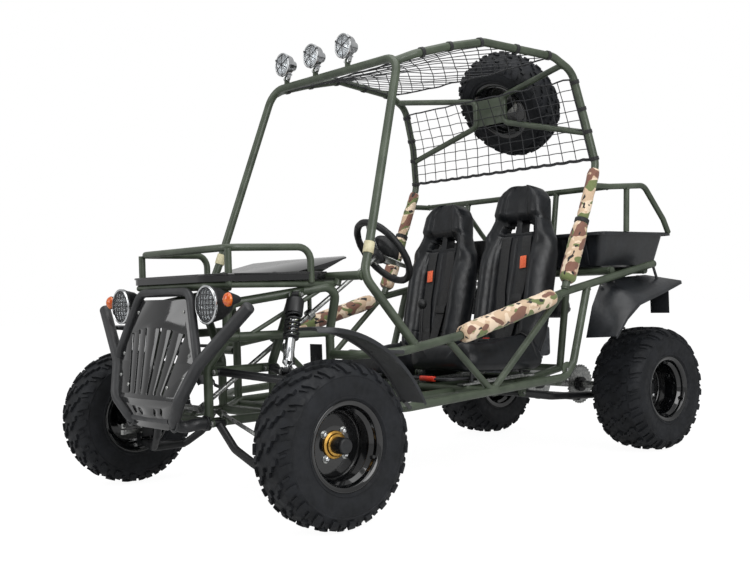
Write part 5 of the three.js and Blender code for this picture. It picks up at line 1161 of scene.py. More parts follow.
# Pressed glass is clear and fluted; the signal's acrylic is deep orange with a pressed grain.
def dome(radius, base, rise, steps):
    """The outline of a bulged lens, from its pole out to its rim."""
    angles = [math.pi / 2 * i / steps for i in range(steps + 1)]
    return [(radius * math.sin(a), base + rise * math.cos(a)) for a in angles]


glass = surface("pressed lamp glass", (0xe9edf0, 0xf7f9fa), 30, bumps=[(5, 0.0, 1.2, (1, 0.2, 1))],
                Transmission_Weight=0.85, IOR=1.47, Roughness=0.06)
amber = surface("amber acrylic", (0xe0520e, 0xff8a24), 12, bumps=[(3.5, 0.0, 0.5)],
                Transmission_Weight=0.25, IOR=1.49, Roughness=0.12, Coat_Weight=0.5)


def headlamp(side, label):
    piece = Piece(f"headlamp_bowl_{label}")
    x, y, z = lamp_spot
    turn = aimed((side * x, y, z), (0, -1, 0))
    bowl = [(0, -88), (15, -88), (32, -78), (52, -44), (61, -6), (64, -4), (64, 4), (60, 4),
            (57, -6), (48, -42), (28, -72), (0, -74)]
    piece.lathe(bowl, turn, black_plastic, 48, 1.5)
    mirror = [(0, -60), (24, -52), (44, -28), (56, -4), (54.5, -3.2), (42.5, -26.5), (23, -50),
              (0, -57.5)]
    piece.lathe(mirror, turn, chrome, 40)
    piece.lathe([(57, 2), (64.5, 2), (65, 8), (60, 11), (56, 8)], turn, chrome, 56, 1.5)
    piece.lathe(dome(57, 1, 11, 8) + [(57, -2), (0, -2)], turn, glass, 44)
    piece.lathe([(0, -40), (11, -40), (11, -12), (7, -6), (0, -4)], turn, glass, 20)
    guard = Tubing()
    reach = 59
    for i in range(-3, 4):
        off = i * 16.5
        half = math.sqrt(max(reach ** 2 - off ** 2, 0))
        for upright in (True, False):
            line = []
            for j in range(9):
                t = half * (j / 4 - 1)
                u, v = (off, t) if upright else (t, off)
                bulge = math.sqrt(max(1 - (u * u + v * v) / (reach * reach), 0))
                line.append(turn @ Vector((u, v, 6 + 10 * bulge + 1.5 * upright)))
            guard.run(line, 1.7)
    guard.run(placed(turn, circle(reach, 40, 7)), 2.1, ring=True)
    piece.add(guard.mesh(wing_paint, 8, 2))
    piece.add(rod((side * x, y + 52, z - 8), (side * (x - 42), y + 40, z - 40), 9), black_plastic)
    piece.add(rod((side * x, y + 56, z), (side * 262, y + 110, z + 10), 7), wing_paint)
    sx, sy, sz = signal_spot
    cone = [(0, -40), (9, -40), (14, -30), (24, -2), (25, 2), (0, 2)]
    aim = aimed((side * sx, sy, sz), (0, -1, 0))
    piece.lathe(cone, aim, black_plastic, 32, 1)
    piece.lathe(dome(23.5, 2, 17, 7) + [(23.5, 1), (0, 1)], aim, amber, 36)
    piece.add(rod((side * sx, sy + 34, sz), (side * x, y + 60, z), 6), black_plastic)
    return piece.fit("chassis", "lamp_chrome", [f"headlamp_{label}"])


for side, label in SIDES:
    headlamp(side, label)

# The three roof lamps are chromed bowls with pressed glass, each in a bright fork that a bolt
# clamps to a lug on the front hoop.


def roof_lamp_piece(index, x):
    piece = Piece(f"roof_lamp_bowl_{index}")
    turn = aimed((x, roof_lamp["face"], roof_lamp["z"]), (0, -1, 0))
    bowl = [(0, -58), (20, -58), (24, -40), (40, -30), (46, -4), (48, -3), (48, 3), (45, 3),
            (42, -6), (37, -27), (0, -32)]
    piece.lathe(bowl, turn, chrome, 44, 1.5)
    piece.lathe([(0, -28), (20, -25), (38, -12), (44, 0), (42, 0), (36, -11), (19, -22), (0, -25)],
                turn, chrome, 36)
    piece.lathe(dome(44, 1, 7, 6) + [(44, -1), (0, -1)], turn, glass, 40)
    piece.lathe([(43, 1), (48.5, 1), (49, 6), (45, 8), (42, 6)], turn, chrome, 44, 1.2)
    for spot in circle(46, 3, 4):
        piece.add(block(turn @ (Matrix.Rotation(0.5, 4, "Z") @ spot), (9, 8, 9), 1.5), wing_paint)
    cross = Tubing()
    for a in (math.pi / 6, math.pi / 2, 5 * math.pi / 6):
        way = Vector((math.cos(a), math.sin(a), 0))
        cross.run([turn @ (way * r + Vector((0, 0, 9 - abs(r) / 12)))
                   for r in (-44, -22, 0, 22, 44)], 1.6)
    piece.add(cross.mesh(wing_paint, 8, 2))
    y, z = roof_lamp["pivot"]
    for side in (1, -1):
        fork = [(-9, -6), (0, -10), (9, -6), (9, 4), (-9, 4), (4, 22), (20, 22)]
        ends = x + side * 7.8 - 2, x + side * 7.8 + 2
        piece.add(prism(ends, [(y + dy, z + dz) for dy, dz in fork], 0.6), chrome)
        hex_nut((x + side * 10, y, z), (side, 0, 0), 8, 5, zinc_plate, piece)
    piece.add(block((x, y + 9, z + 19), (22, 24, 5), 1), chrome)
    piece.add(rod((x - 16, y, z), (x + 16, y, z), 4.5, 12), zinc_plate)
    return piece.fit(f"roof_lamp_{index}", "lamp_chrome", [f"roof_lamp_{index}"])


for index, x in enumerate(roof_lamp["xs"], 1):
    roof_lamp_piece(index, x)

# The fenders are black moulded plastic with a rolled outer edge, on thin steel stays. The rear
# pair are broader and drop away in facets behind and before the wheel.
fender_wall = 4
arc = {"centre": (-53, 167), "radius": 469, "from": 92, "to": 25, "inner": 582, "outer": 712}
rear_stations = [((480, 1525, 518), (640, 1519, 525)), ((480, 1571, 646), (640, 1602, 603)),
                 ((480, 1641, 755), (640, 1693, 660)), ((480, 1800, 768), (640, 1868, 705)),
                 ((480, 1965, 775), (640, 2006, 744))]


fender_plastic = surface("blow moulded black plastic", (0x17191c, 0x1f2226), 80, (0.3, 0.42), 15,
                         [(2.5, 1.0, 0.04)], Specular_IOR_Level=0.5, Coat_Weight=0.15,
                         Coat_Roughness=0.3)


def lofted(rows, wall, finish, piece, shift=(0, 0, -1)):
    """A sheet through rows of points, wall thick in the shift's direction, closed at its edges."""
    drop = Vector(shift) * wall
    wide = len(rows[0])
    points = [Vector(p) for row in rows for p in row]
    points += [p + drop for p in points]
    base = len(points) // 2
    faces = []
    for i in range(len(rows) - 1):
        for j in range(wide - 1):
            a, b = i * wide + j, (i + 1) * wide + j
            faces += [(a, a + 1, b + 1, b), (base + a, base + b, base + b + 1, base + a + 1)]
        for j in (0, wide - 1):
            a, b = i * wide + j, (i + 1) * wide + j
            faces.append((a, b, base + b, base + a))
    for i in (0, len(rows) - 1):
        for j in range(wide - 1):
            a = i * wide + j
            faces.append((a, base + a, base + a + 1, a + 1))
    piece.add(closed(points, faces), finish)


def on_arc(x, radius, a):
    y, z = arc["centre"]
    return x, y + radius * math.cos(a), z + radius * math.sin(a)


def arc_angle(share):
    return math.radians(arc["from"] + (arc["to"] - arc["from"]) * share)


def front_fender(side, label):
    piece = Piece(f"front_fender_moulding_{label}")
    rows = []
    steps = 28
    inner, outer = arc["inner"], arc["outer"]
    xs = [(inner, -8), (inner + 2, -2), (inner + 8, 0), ((inner + outer) / 2, 2), (outer - 10, 0),
          (outer - 2.5, -3), (outer, -14)]
    for i in range(steps + 1):
        share = i / steps
        taper = max(1 - share / 0.12, 0) * 16
        row = []
        for x, lift in xs:
            shrink = taper * (1 if x > (inner + outer) / 2 else -1)
            row.append(on_arc(side * (x - shrink), arc["radius"] - 2 + lift, arc_angle(share)))
        rows.append(row)
    lofted(rows, fender_wall * 0.8, fender_plastic, piece)
    stay = Tubing()
    a = math.acos((225 - arc["centre"][0]) / arc["radius"])
    stay.run([(side * 598, 225, on_arc(0, 463, a)[2]), (side * 566, 400, 527)], 7, 20)
    stay.run([on_arc(side * 598, 465, arc_angle(1)), (side * 566, 424, 333)], 7)
    piece.add(stay.mesh(wing_paint, 14))
    for share in (0.42, 0.55, 0.97):
        a = arc_angle(share)
        spot = on_arc(side * (inner + 16), arc["radius"] - 1, a)
        piece.stud(spot, (0, math.cos(a), math.sin(a)), 9, 3, zinc_plate)
    return piece.fit("chassis", "gloss_panel", [f"front_fender_{label}"])


def rear_fender(side, label):
    piece = Piece(f"rear_fender_moulding_{label}")
    rows = []
    for (inner0, outer0), (inner1, outer1) in zip(rear_stations, rear_stations[1:]):
        for i in range(4):
            share = i / 4
            a = Vector(inner0).lerp(Vector(inner1), share)
            rows.append((a, Vector(outer0).lerp(Vector(outer1), share)))
    rows.append([Vector(spot) for spot in rear_stations[-1]])
    skin, lip = [], Vector((0, 0, -1))
    for a, b in rows:
        way = (b - a).normalized()
        row = [a, a + way * 4, a.lerp(b, 0.35), a.lerp(b, 0.7), b - way * 5,
               b - way * 1.5 + lip * 2, b + lip * 11]
        skin.append(mirrored(row, side))
    lofted(skin, fender_wall * 0.8, fender_plastic, piece)
    stay = Tubing()
    for y, z in ((1700, 760), (1880, 768)):
        stay.run([(side * 500, y, z - 8), (side * 500, y, z - 78), (side * 470, y, z - 78)], 7, 14)
    stay.run([(side * 548, 1930, 806), (side * 556, 1955, 727)], 6)
    piece.add(stay.mesh(wing_paint, 14))
    piece.add(block((side * 556, 1957, 665), (96, 3, 124), 1), tyre_rubber)
    for y, z in ((1700, 764), (1880, 773), (1620, 735)):
        piece.stud((side * 500, y, z - 3), (0, 0, 1), 9, 3, zinc_plate)
    return piece.fit("chassis", "gloss_panel", [f"rear_fender_{label}"])


for side, label in SIDES:
    front_fender(side, label)
    rear_fender(side, label)

# The two bucket seats are foam on a shell, covered in black vinyl with sewn seams. Each has tall
# side bolsters, an arched head roll over two belt slots, and a thick rolled front edge.
seat_half, seat_thick, bolster_rise = 203, 44, 58
seat_x, right_drop = 230, 45
back_foot, back_top = Vector((0, 1290, 476)), Vector((0, 1463, 1178))
cushion_front, cushion_rear = Vector((0, 885, 492)), Vector((0, 1300, 476))
back_widths = [(0, 0.86), (0.1, 0.95), (0.35, 1), (0.58, 1), (0.66, 0.94), (0.72, 0.8), (0.78, 0.7),
               (0.85, 0.66), (0.91, 0.62), (0.95, 0.52), (0.98, 0.37), (0.993, 0.2), (1, 0.04)]
cushion_widths = [(0, 0.5), (0.012, 0.7), (0.05, 0.84), (0.12, 0.9), (0.4, 0.95), (1, 0.97)]
seam_share, seam_deep, seam_wide = 0.5, 5, 7
slot_from, slot_to, slot_inner, slot_outer = 0.7, 0.775, 0.1, 0.56


def eased(t):
    t = min(max(t, 0), 1)
    return t * t * (3 - 2 * t)


def read_off(table, t):
    for (t0, v0), (t1, v1) in zip(table, table[1:]):
        if t <= t1:
            return v0 + (v1 - v0) * (t - t0) / (t1 - t0)
    return table[-1][1]


def seam(distance):
    """How deep a sewn seam draws the cover in, at a distance from its line."""
    return seam_deep * max(0, 1 - abs(distance) / seam_wide) ** 2


def side_roll(u, share=0.46):
    t = (abs(u) - share) / (1 - share)
    return math.sin(math.pi * min(t, 1) ** 0.75) if t > 0 else 0.0


class Cushion:
    """A closed pad on a plan outline: its front rises to the given height, its rear is flat."""

    def __init__(self, foot, top, widths, height, thick, round_off):
        self.foot, self.along, self.widths = foot, top - foot, widths
        self.height, self.thick, self.round_off = height, thick, round_off
        way = self.along.normalized()
        self.up = Vector((0, -way.z, way.y))

    def half(self, s):
        return seat_half * read_off(self.widths, s)

    def edge(self, u, s):
        """The cover's fall towards the outline, as a quarter round."""
        length = self.along.length
        gap = min((1 - abs(u)) * self.half(s), s * length * 0.9, (1 - s) * length * 1.4)
        r = self.round_off
        return r - math.sqrt(max(r * r - max(r - gap, 0) ** 2, 0))

    def spot(self, u, s, lift=0.0, rear=False):
        fall = self.edge(u, s)
        front = self.height(u, s) * (1 - fall / self.round_off) - fall + lift
        h = fall - self.thick if rear else front
        return self.foot + self.along * s + Vector((u * self.half(s), 0, 0)) + self.up * h

    def mesh(self, us, ss, holes=lambda u, s: False):
        points, faces = [], []
        wide = len(us)
        for rear in (False, True):
            points += [self.spot(u, s, rear=rear) for s in ss for u in us]
        base = wide * len(ss)
        kept = {(i, j) for i in range(len(ss) - 1) for j in range(wide - 1)
                if not holes((us[j] + us[j + 1]) / 2, (ss[i] + ss[i + 1]) / 2)}
        for i, j in kept:
            a, b = i * wide + j, (i + 1) * wide + j
            faces += [(a, a + 1, b + 1, b), (base + a, base + b, base + b + 1, base + a + 1)]
            for other, (p, q) in (((i - 1, j), (a, a + 1)), ((i + 1, j), (b + 1, b)),
                                  ((i, j - 1), (b, a)), ((i, j + 1), (a + 1, b + 1))):
                if other not in kept:
                    faces.append((p, base + p, base + q, q))
        return closed(points, faces)


def lines_of(count, seams, low, high, spread=0.014):
    """Grid lines from low to high, closer at the ends and along each seam."""
    marks = [low + (high - low) * (0.5 - 0.5 * math.cos(math.pi * i / count))
             for i in range(count + 1)]
    marks = [m for m in marks if all(abs(m - s) > 2.2 * spread for s in seams)]
    for s in seams:
        marks += [s - 2 * spread, s - spread, s - spread / 3, s + spread / 3, s + spread,
                  s + 2 * spread]
    return sorted(marks)


def wave(*spot):
    return noise.noise(Vector(spot))


def back_height(u, s):
    lift = 1 - 0.8 * eased((s - 0.5) / 0.28)
    h = bolster_rise * lift * side_roll(u) * eased(s / 0.12 + 0.3)
    roll = eased((s - 0.765) / 0.05) * (1 - 0.35 * eased((s - 0.9) / 0.1))
    legs = eased((s - 0.6) / 0.1) * eased((abs(u) - 0.55) / 0.25)
    h += 40 * max(roll, 0.6 * legs)
    h += 7 * (1 - u * u) * (1 - roll)
    w = seat_half * read_off(back_widths, s)
    h -= seam((abs(u) - seam_share) * w) * (s < 0.69)
    h -= seam(abs(u) * w) * 0.9 * (0.06 < s < 0.66)
    h -= seam((s - 0.685) * 723) * (abs(u) < 0.54)
    h -= seam((s - 0.16) * 723) * (abs(u) < 0.52)
    wrinkle = wave(u * 2.4, s * 7, 3.1) * 3.2 + wave(u * 6, s * 19, 8.7) * 1.2
    return h + wrinkle


def cushion_height(u, s):
    h = bolster_rise * (0.35 + 0.65 * eased(s)) * side_roll(u, 0.5)
    h += 16 * (1 - u * u) + 14 * eased(1 - s / 0.3)
    h -= seam((abs(u) - 0.52) * seat_half * 0.93) * (0.02 < s)
    h -= seam((s - 0.45) * 415) * (abs(u) < 0.54)
    return h + wave(u * 3, s * 5, 21.3) * 3 + wave(u * 8, s * 12, 2.7) * 1.1

# Vinyl has a fine embossed hide grain, and puckers over the foam in folds of a few centimetres.
vinyl = surface("black seat vinyl", (0x0b0d10, 0x13161a), 55, (0.3, 0.42), 22,
                [(1.6, 2.0, 0.14), (38, 1.0, 1.4)], Specular_IOR_Level=0.4)


def woven(name, shades):
    """Woven polyester belt: a fine rib across it, matt, with a slight sheen."""
    return surface(name, shades, 6, (0.6, 0.75), 8, [(1.8, 0.0, 0.25, (0.25, 1, 1))],
                   Sheen_Weight=0.15)


webbing = woven("woven black webbing", (0x0b0c0d, 0x141517))
orange_tag = woven("orange tag cloth", (0xe2572f, 0xf27446))
backrest = Cushion(back_foot, back_top, back_widths, back_height, seat_thick, 22)
squab = Cushion(cushion_front, cushion_rear, cushion_widths, cushion_height, 78, 39)


def belt(piece, form, track, width, turn, finish, lift=5):
    """A strap laid along [u, s] marks on a cushion, 2.5 mm thick."""
    rows = []
    steps = 10
    for (u0, s0, l0), (u1, s1, l1) in zip(track, track[1:]):
        for i in range(steps + (track[-1] == (u1, s1, l1))):
            t = i / steps
            u, s, up = u0 + (u1 - u0) * t, s0 + (s1 - s0) * t, l0 + (l1 - l0) * t
            half = width / 2 / form.half(s)
            rows.append([form.spot(u + half * k, s, lift + up) for k in (-1, -0.5, 0, 0.5, 1)])
    lofted([[turn @ p for p in row] for row in rows], 2.5, finish, piece, tuple(-form.up))


def seat(label, side, drop):
    piece = Piece(f"seat_cover_{label}")
    turn = Matrix.Translation((side * seat_x, 0, -drop))
    edge = slot_inner, slot_outer
    us = lines_of(40, [-seam_share, 0, seam_share], -1, 1, 0.016)
    us = sorted(us + [s * e for s in (1, -1) for e in edge])
    ss = sorted(lines_of(84, [0.16, 0.685], 0, 1, 0.005) + [slot_from + 0.03, slot_to])

    def in_slot(u, s):
        top = slot_to - 0.03 * eased((abs(u) - 0.3) / 0.26)
        return slot_inner < abs(u) < slot_outer and slot_from < s < top

    piece.add(backrest.mesh(us, ss, in_slot), vinyl, turn)
    piece.add(squab.mesh(lines_of(36, [-0.52, 0.52], -1, 1), lines_of(46, [0.45], 0, 1, 0.008)),
              vinyl, turn)
    for sign in (1, -1):
        belt(piece, backrest, [(sign * 0.3, 0.71, -14), (sign * 0.3, 0.67, 0),
                               (sign * 0.26, 0.35, 2), (sign * 0.1, 0.06, 8)], 48, turn, webbing)
        belt(piece, squab, [(sign * 0.9, 0.93, -2), (sign * 0.5, 0.82, 4), (sign * 0.16, 0.72, 10)],
             46, turn, webbing)
        u, s = (sign * 0.24, 0.3) if sign > 0 else (sign * 0.2, 0.16)
        lay = Matrix.Translation(backrest.spot(u, s, 12)) @ Matrix.Rotation(1.33, 4, "X")
        piece.add(block((0, 0, 0), (58, 34, 9), 2), black_plastic, turn @ lay)
    tag = backrest.spot(side * 0.27, 0.52, 11)
    lay = Matrix.Rotation(math.radians(76), 4, "X") @ Matrix.Rotation(0.1, 4, "Z")
    piece.add(block((0, 0, 0), (34, 54, 2), 0.6), orange_tag, turn @ Matrix.Translation(tag) @ lay)
    buckle = squab.spot(0, 0.72, 22)
    piece.add(block(tuple(buckle), (64, 52, 18), 4), black_plastic, turn)
    piece.add(block(tuple(buckle + Vector((0, -6, 10))), (26, 18, 4), 1.5), red_plastic, turn)
    frame_tubes = Tubing()
    middle, foot_ys = side * seat_x, (943, 1237)
    for x in (-135, 135):
        for y in foot_ys:
            frame_tubes.run([(x + middle, y, floor_height(y) + 35),
                             (x + middle, y, 432 - drop * 0.9)], 7)
        foot = [(y, floor_height(y) + lift) for y in foot_ys for lift in (34.3, 39.3)]
        piece.add(prism((x + middle - 12, x + middle + 12), foot), zinc_plate)
    for y in foot_ys:
        frame_tubes.run([(middle - 150, y, 430 - drop * 0.9), (middle + 150, y, 430 - drop * 0.9)],
                        10)
    z = floor_height(905) + 52
    grip_bar = [(121, 975), (121, 835), (-121, 835), (-121, 975)]
    frame_tubes.run([(middle + x, y, z) for x, y in grip_bar], 6, 30)
    piece.add(frame_tubes.mesh(wing_paint, 14))
    piece.add(rod((middle - 42, 835, z), (middle + 42, 835, z), 10.5, 20, 3), red_plastic)
    piece.fit(f"seat_{label}", "seat_vinyl", [f"seat_{label}"], sharp=62)


red_plastic = moulded("red vinyl grip", (0xc22a17, 0xdb3b21), (0.35, 0.5))
seat("left", 1, 0)
seat("right", -1, right_drop)

# Sleeves of foam in printed woodland cotton wrap the side bars and the rear pillars, so that an
# arm meets no bare tube. They are stitched closed and wrinkle along the tube, and a black band
# closes the step in each pillar's sleeve.
camo_shades = {"sand": 0xcbb093, "pale": 0xe2cdb4, "brown": 0x7c5647, "green": 0x6c7748,
               "black": 0x221f1d}


def camo_cloth():
    """Woodland print of blots three to ten centimetres long; the weave is drawn coarse to show."""
    material, tree, shader = finish_of("printed cotton duck", Sheen_Weight=0.2)
    colour = shaded(tree, shader, ranged(tree, grain(tree, 55), 0, 1, 0.49, 0.51),
                    camo_shades["sand"], camo_shades["pale"])
    for size, low, shade, stretch in ((64, 0.53, "green", (1, 0.7, 1.3)),
                                      (58, 0.55, "brown", (1.3, 0.7, 1)),
                                      (30, 0.63, "black", (1.6, 0.6, 1))):
        blot = ranged(tree, grain(tree, size, 1.6, stretch), 0, 1, low, low + 0.012)
        mix = node(tree, "ShaderNodeMixRGB", Fac=blot, Color1=colour,
                   Color2=linear(camo_shades[shade]))
        colour = mix.outputs["Color"]
    tree.links.new(colour, shader.inputs["Base Color"])
    rough(tree, shader, grain(tree, 8), 0.72, 0.88)
    bumped(tree, shader, grain(tree, 2.0, 1.0), 0.2)
    return material


camo = camo_cloth()


def sleeve(piece, start, end, radii, bore=17.2, rings=46, sides=44, seed=0.0):
    """A padded sleeve round a tube; its outline swells between the bands and wrinkles along."""
    start, end = Vector(start), Vector(end)
    turn = aimed(start, end - start, (1, 0, 0))
    length = (end - start).length
    points, faces = [], []
    for i in range(rings + 1):
        s = i / rings
        round_end = math.sqrt(max(1 - max(0, 1 - min(s, 1 - s) * length / 14) ** 2, 0))
        for j in range(sides):
            a = 2 * math.pi * j / sides
            spot = Vector((math.cos(a), math.sin(a), s * length / 60 + seed))
            swell = wave(*spot * 1.3) * 2.6 + wave(spot.x * 2, spot.y * 2, spot.z * 4) * 1.5
            r = bore + 3 + (read_off(radii, s) - bore - 5.5 + swell) * (0.35 + 0.65 * round_end)
            r -= 2.2 * max(0, 1 - abs(a - 4.4) / 0.12)
            points.append(turn @ Vector((r * math.cos(a), r * math.sin(a), s * length)))
    base = len(points)
    for s in (0, 1):
        points += placed(turn, circle(bore, sides, s * length))
    for j in range(sides):
        k = (j + 1) % sides
        for i in range(rings):
            a, b = i * sides, (i + 1) * sides
            faces.append((a + j, a + k, b + k, b + j))
        last = rings * sides
        p, q = base + sides + j, base + sides + k
        faces += [(j, base + j, base + k, k), (last + j, last + k, q, p),
                  (base + j, p, q, base + k)]
    piece.add(closed(points, faces), camo)


def band(piece, spot, way, radius, width, finish):
    ring = collar_of(radius - 3, radius, 0, width)
    piece.lathe(ring, aimed(spot, way, (1, 0, 0)), finish, 40, 1)


def side_pad(label, side):
    piece = Piece(f"side_sleeve_{label}")
    flip = Vector((side, 1, 1))
    sleeve(piece, bar_at(702) * flip, bar_at(1232) * flip,
           [(0, 33), (0.06, 37), (0.3, 36), (0.5, 37), (0.7, 35.5), (0.94, 37), (1, 33)],
           seed=side * 3)
    piece.fit("chassis", "camo_padding", [f"side_pad_{label}"], sharp=75)


def pillar_pad(label, side):
    piece = Piece(f"pillar_sleeve_{label}")
    flip = Vector((side, 1, 1))
    low, step, top = pillar_at(754), pillar_at(1000), pillar_at(1216)
    sleeve(piece, low * flip, (step - (step - low).normalized() * 5) * flip,
           [(0, 34), (0.1, 37), (0.8, 36), (1, 30)], rings=26, seed=side * 5)
    sleeve(piece, (step + (top - step).normalized() * 5) * flip, top * flip,
           [(0, 25), (0.1, 27), (0.9, 26.5), (1, 24)],
           rings=22, seed=side * 7)
    way = (top - step).normalized()
    band(piece, (step - way * 9) * flip, way * flip, 30, 18, webbing)
    piece.fit("chassis", "camo_padding", [f"pillar_pad_{label}"], sharp=75)


for side, label in SIDES:
    side_pad(label, side)
    pillar_pad(label, side)

# The nets are knotted black nylon cord: diamonds under the roof, squares at the back with a thick
# rope along their hem. Their edge loops are lashed round the cage's tubes with black tape.
cord_radius, rope_radius, knot_radius = 1.9, 3.6, 3.6
roof_half_cells, roof_cells = 13, 9
back_columns, back_rows = 15, 8
net_ends, net_drop = (652, 1335), (1592, 1268)


def knot_tree():
    tree, sizes = tree_with("knots", Radius="Float")
    spots = node(tree, "GeometryNodeMeshToPoints", Mesh=sizes["Geometry"])
    ball = node(tree, "GeometryNodeMeshIcoSphere", Radius=sizes["Radius"], Subdivisions=1)
    copies = node(tree, "GeometryNodeInstanceOnPoints", Points=spots.outputs[0],
                  Instance=ball.outputs["Mesh"])
    end_tree(tree, copies.outputs[0], sizes["Material"])
    return tree


KNOTS = knot_tree()


nylon = surface("twisted black nylon", (0x16171a, 0x24262a), 20, (0.55, 0.7), 5, [(2.2, 0.0, 0.4)],
                Sheen_Weight=0.1)


def rail_at(y):
    return on_line(roof_rail, y)


def rear_rail_at(z):
    return on_line(roof_rail[4:], z, 2)


def roof_net_at(a, b):
    """A point of the roof net: a runs across from -1 to 1, b runs back from 0 to 1."""
    rail = rail_at(net_ends[0] + (net_ends[1] - net_ends[0]) * b)
    sag = 3 + 26 * (1 - a * a) * (0.4 + 0.6 * math.sin(math.pi * b))
    drift = wave(a * 5, b * 7, 1.7) * 9 * (1 - a * a)
    return Vector((a * (rail.x - 14), rail.y + wave(a * 6, b * 6, 9.1) * 9, rail.z - sag + drift))


def back_net_at(a, b):
    """A point of the back net: a runs across, b runs down from the cross line to the hem."""
    rail = rear_rail_at(net_drop[0] + (net_drop[1] - net_drop[0]) * b)
    sag = (16 * math.sin(math.pi * b) + wave(a * 6, b * 5, 4.4) * 8) * (1 - a * a)
    droop = -4 * b * (1 - (a * back_columns / 2 % 1 - 0.5) ** 2 * 4)
    drift = wave(a * 7, b * 6, 6.1) * 7 * (1 - b)
    return Vector((a * (rail.x - 13), rail.y - 12 + sag, rail.z + droop + drift))


def lashings(rail, marks, step):
    """The tape's place and direction on both rails, at each mark along them."""
    lash = []
    for mark in marks:
        for side, _ in SIDES:
            start, end = mirrored([rail(mark), rail(mark + step)], side)
            lash.append((start, end - start, main_tube + 3.2))
    return lash


def knotted(name, cords, knots, ropes, lashings, replaced):
    piece = Piece(name)
    tubes = Tubing()
    for cord in cords:
        tubes.run(cord, cord_radius)
    for rope in ropes:
        tubes.run(rope, rope_radius, 10)
    piece.add(tubes.mesh(nylon, 8, 2))
    seed = bpy.data.meshes.new("knots")
    seed.from_pydata([tuple(k) for k in knots], [], [])
    piece.add(grown(KNOTS, seed, {"Radius": knot_radius, "Material": nylon}), nylon)
    for spot, way, radius in lashings:
        band(piece, spot, way, radius, 16, webbing)
    return piece.fit("chassis", "net_cord", [replaced], round_all=True)


def roof_net():
    m, n = roof_half_cells, roof_cells
    cords, knots = [], []
    for k in range(-n, m + 1):
        for sign in (1, -1):
            line = []
            for j in range(n + 1):
                i = k + j
                if 0 <= i <= m:
                    a, b = sign * (2 * i / m - 1), j / n
                    line.append(roof_net_at(a, b))
            if len(line) > 1:
                cords.append(line)
                knots += line if sign > 0 else []
    edge = [[roof_net_at(side, j / 24) for j in range(25)] for side in (1, -1)]
    ends = [[roof_net_at(2 * i / 26 - 1, b) for i in range(27)] for b in (0, 1)]
    front, rear = net_ends
    marks = [front + (rear - front) * b for b in (0.02, 0.22, 0.45, 0.72, 0.96)]
    knotted("roof_net_cords", cords, knots, edge + ends, lashings(rail_at, marks, 6), "roof_net")


def back_net():
    m, n = back_columns, back_rows
    cords = [[back_net_at(2 * i / m - 1, j / n) for j in range(n + 1)] for i in range(1, m)]
    cords += [[back_net_at(2 * i / 45 - 1, j / n) for i in range(46)] for j in range(1, n)]
    knots = [back_net_at(2 * i / m - 1, j / n) for i in range(1, m) for j in range(1, n)]
    hem = [back_net_at(2 * i / 60 - 1, 1) for i in range(61)]
    head = [back_net_at(2 * i / 30 - 1, 0) for i in range(31)]
    sides = [[back_net_at(side, j / 12) for j in range(13)] for side in (1, -1)]
    lash = lashings(rear_rail_at, (1590, 1480, 1385, 1272), -6)
    ropes = [hem, [p + Vector((0, 0, -6)) for p in hem], head] + sides
    knotted("back_net_cords", cords, knots, ropes, lash, "back_net")


roof_net()
back_net()

# The front wheels hang on A arms of bent tube, powder coated black, with rubber bushed eyes. The
# uprights and the pedals are steel in the same black; spindles, rods and rack are zinc plated.
arm_tube, eye_radius, eye_half = 14, 13, 20
lower_pivot, upper_pivot = (200, 119, 311), (200, 105, 483)
lower_ball, upper_ball = (545, 0, 168), (545, 0, 452)
lower_bends = [(262, 98, 226), (345, 66, 172)]

arm_paint = powder_coat("satin black powder coat", (0x0f1012, 0x18191b), (0.34, 0.46))


def eye(piece, spot, axis, radius, half, finish, bore=6.2):
    """A bushed eye: a steel ring, and the lip of its rubber bush at both ends."""
    ring = collar_of(bore, radius, -half, half)
    lip = [(bore, 0), (radius - 2.5, 0), (radius - 3.5, 1.4), (bore, 1.4)]
    piece.lathe(ring, aimed(spot, axis), finish, 32, 1)
    for sign in (1, -1):
        way = Vector(axis) * sign
        piece.lathe(lip, aimed(Vector(spot) + way * (half - 0.6), way), tyre_rubber, 28)


def lower_arm(side, label):
    tubes, piece = Tubing(), Piece(f"lower_arm_tubes_{label}")
    flip = lambda p, s=1: (side * p[0], s * p[1], p[2])
    for s in (1, -1):
        inner, outer = Vector(flip(lower_pivot, s)), Vector(flip(lower_ball))
        bends = [Vector(flip(p, s)) for p in lower_bends]
        inner += (bends[0] - inner).normalized() * 7
        outer += (bends[1] - outer).normalized() * 7
        tubes.run([inner, *bends, outer], arm_tube, 60)
    tubes.run([flip(lower_bends[1], 1), flip(lower_bends[1], -1)], arm_tube)
    piece.add(tubes.mesh(arm_paint, 24))
    gusset = [Vector(flip((x, y, z))) for x, y in ((470, 24), (470, -24), (532, 8), (532, -8))
              for z in (172, 176)]
    piece.add(hull_of(gusset, 0.8), arm_paint)
    for spot in (flip(lower_pivot, 1), flip(lower_pivot, -1), flip(lower_ball)):
        eye(piece, spot, (0, 1, 0), eye_radius - 1.2, eye_half, arm_paint)
    return piece.fit(f"lower_arm_{label}", "black_steel", [f"lower_arm_{label}"])


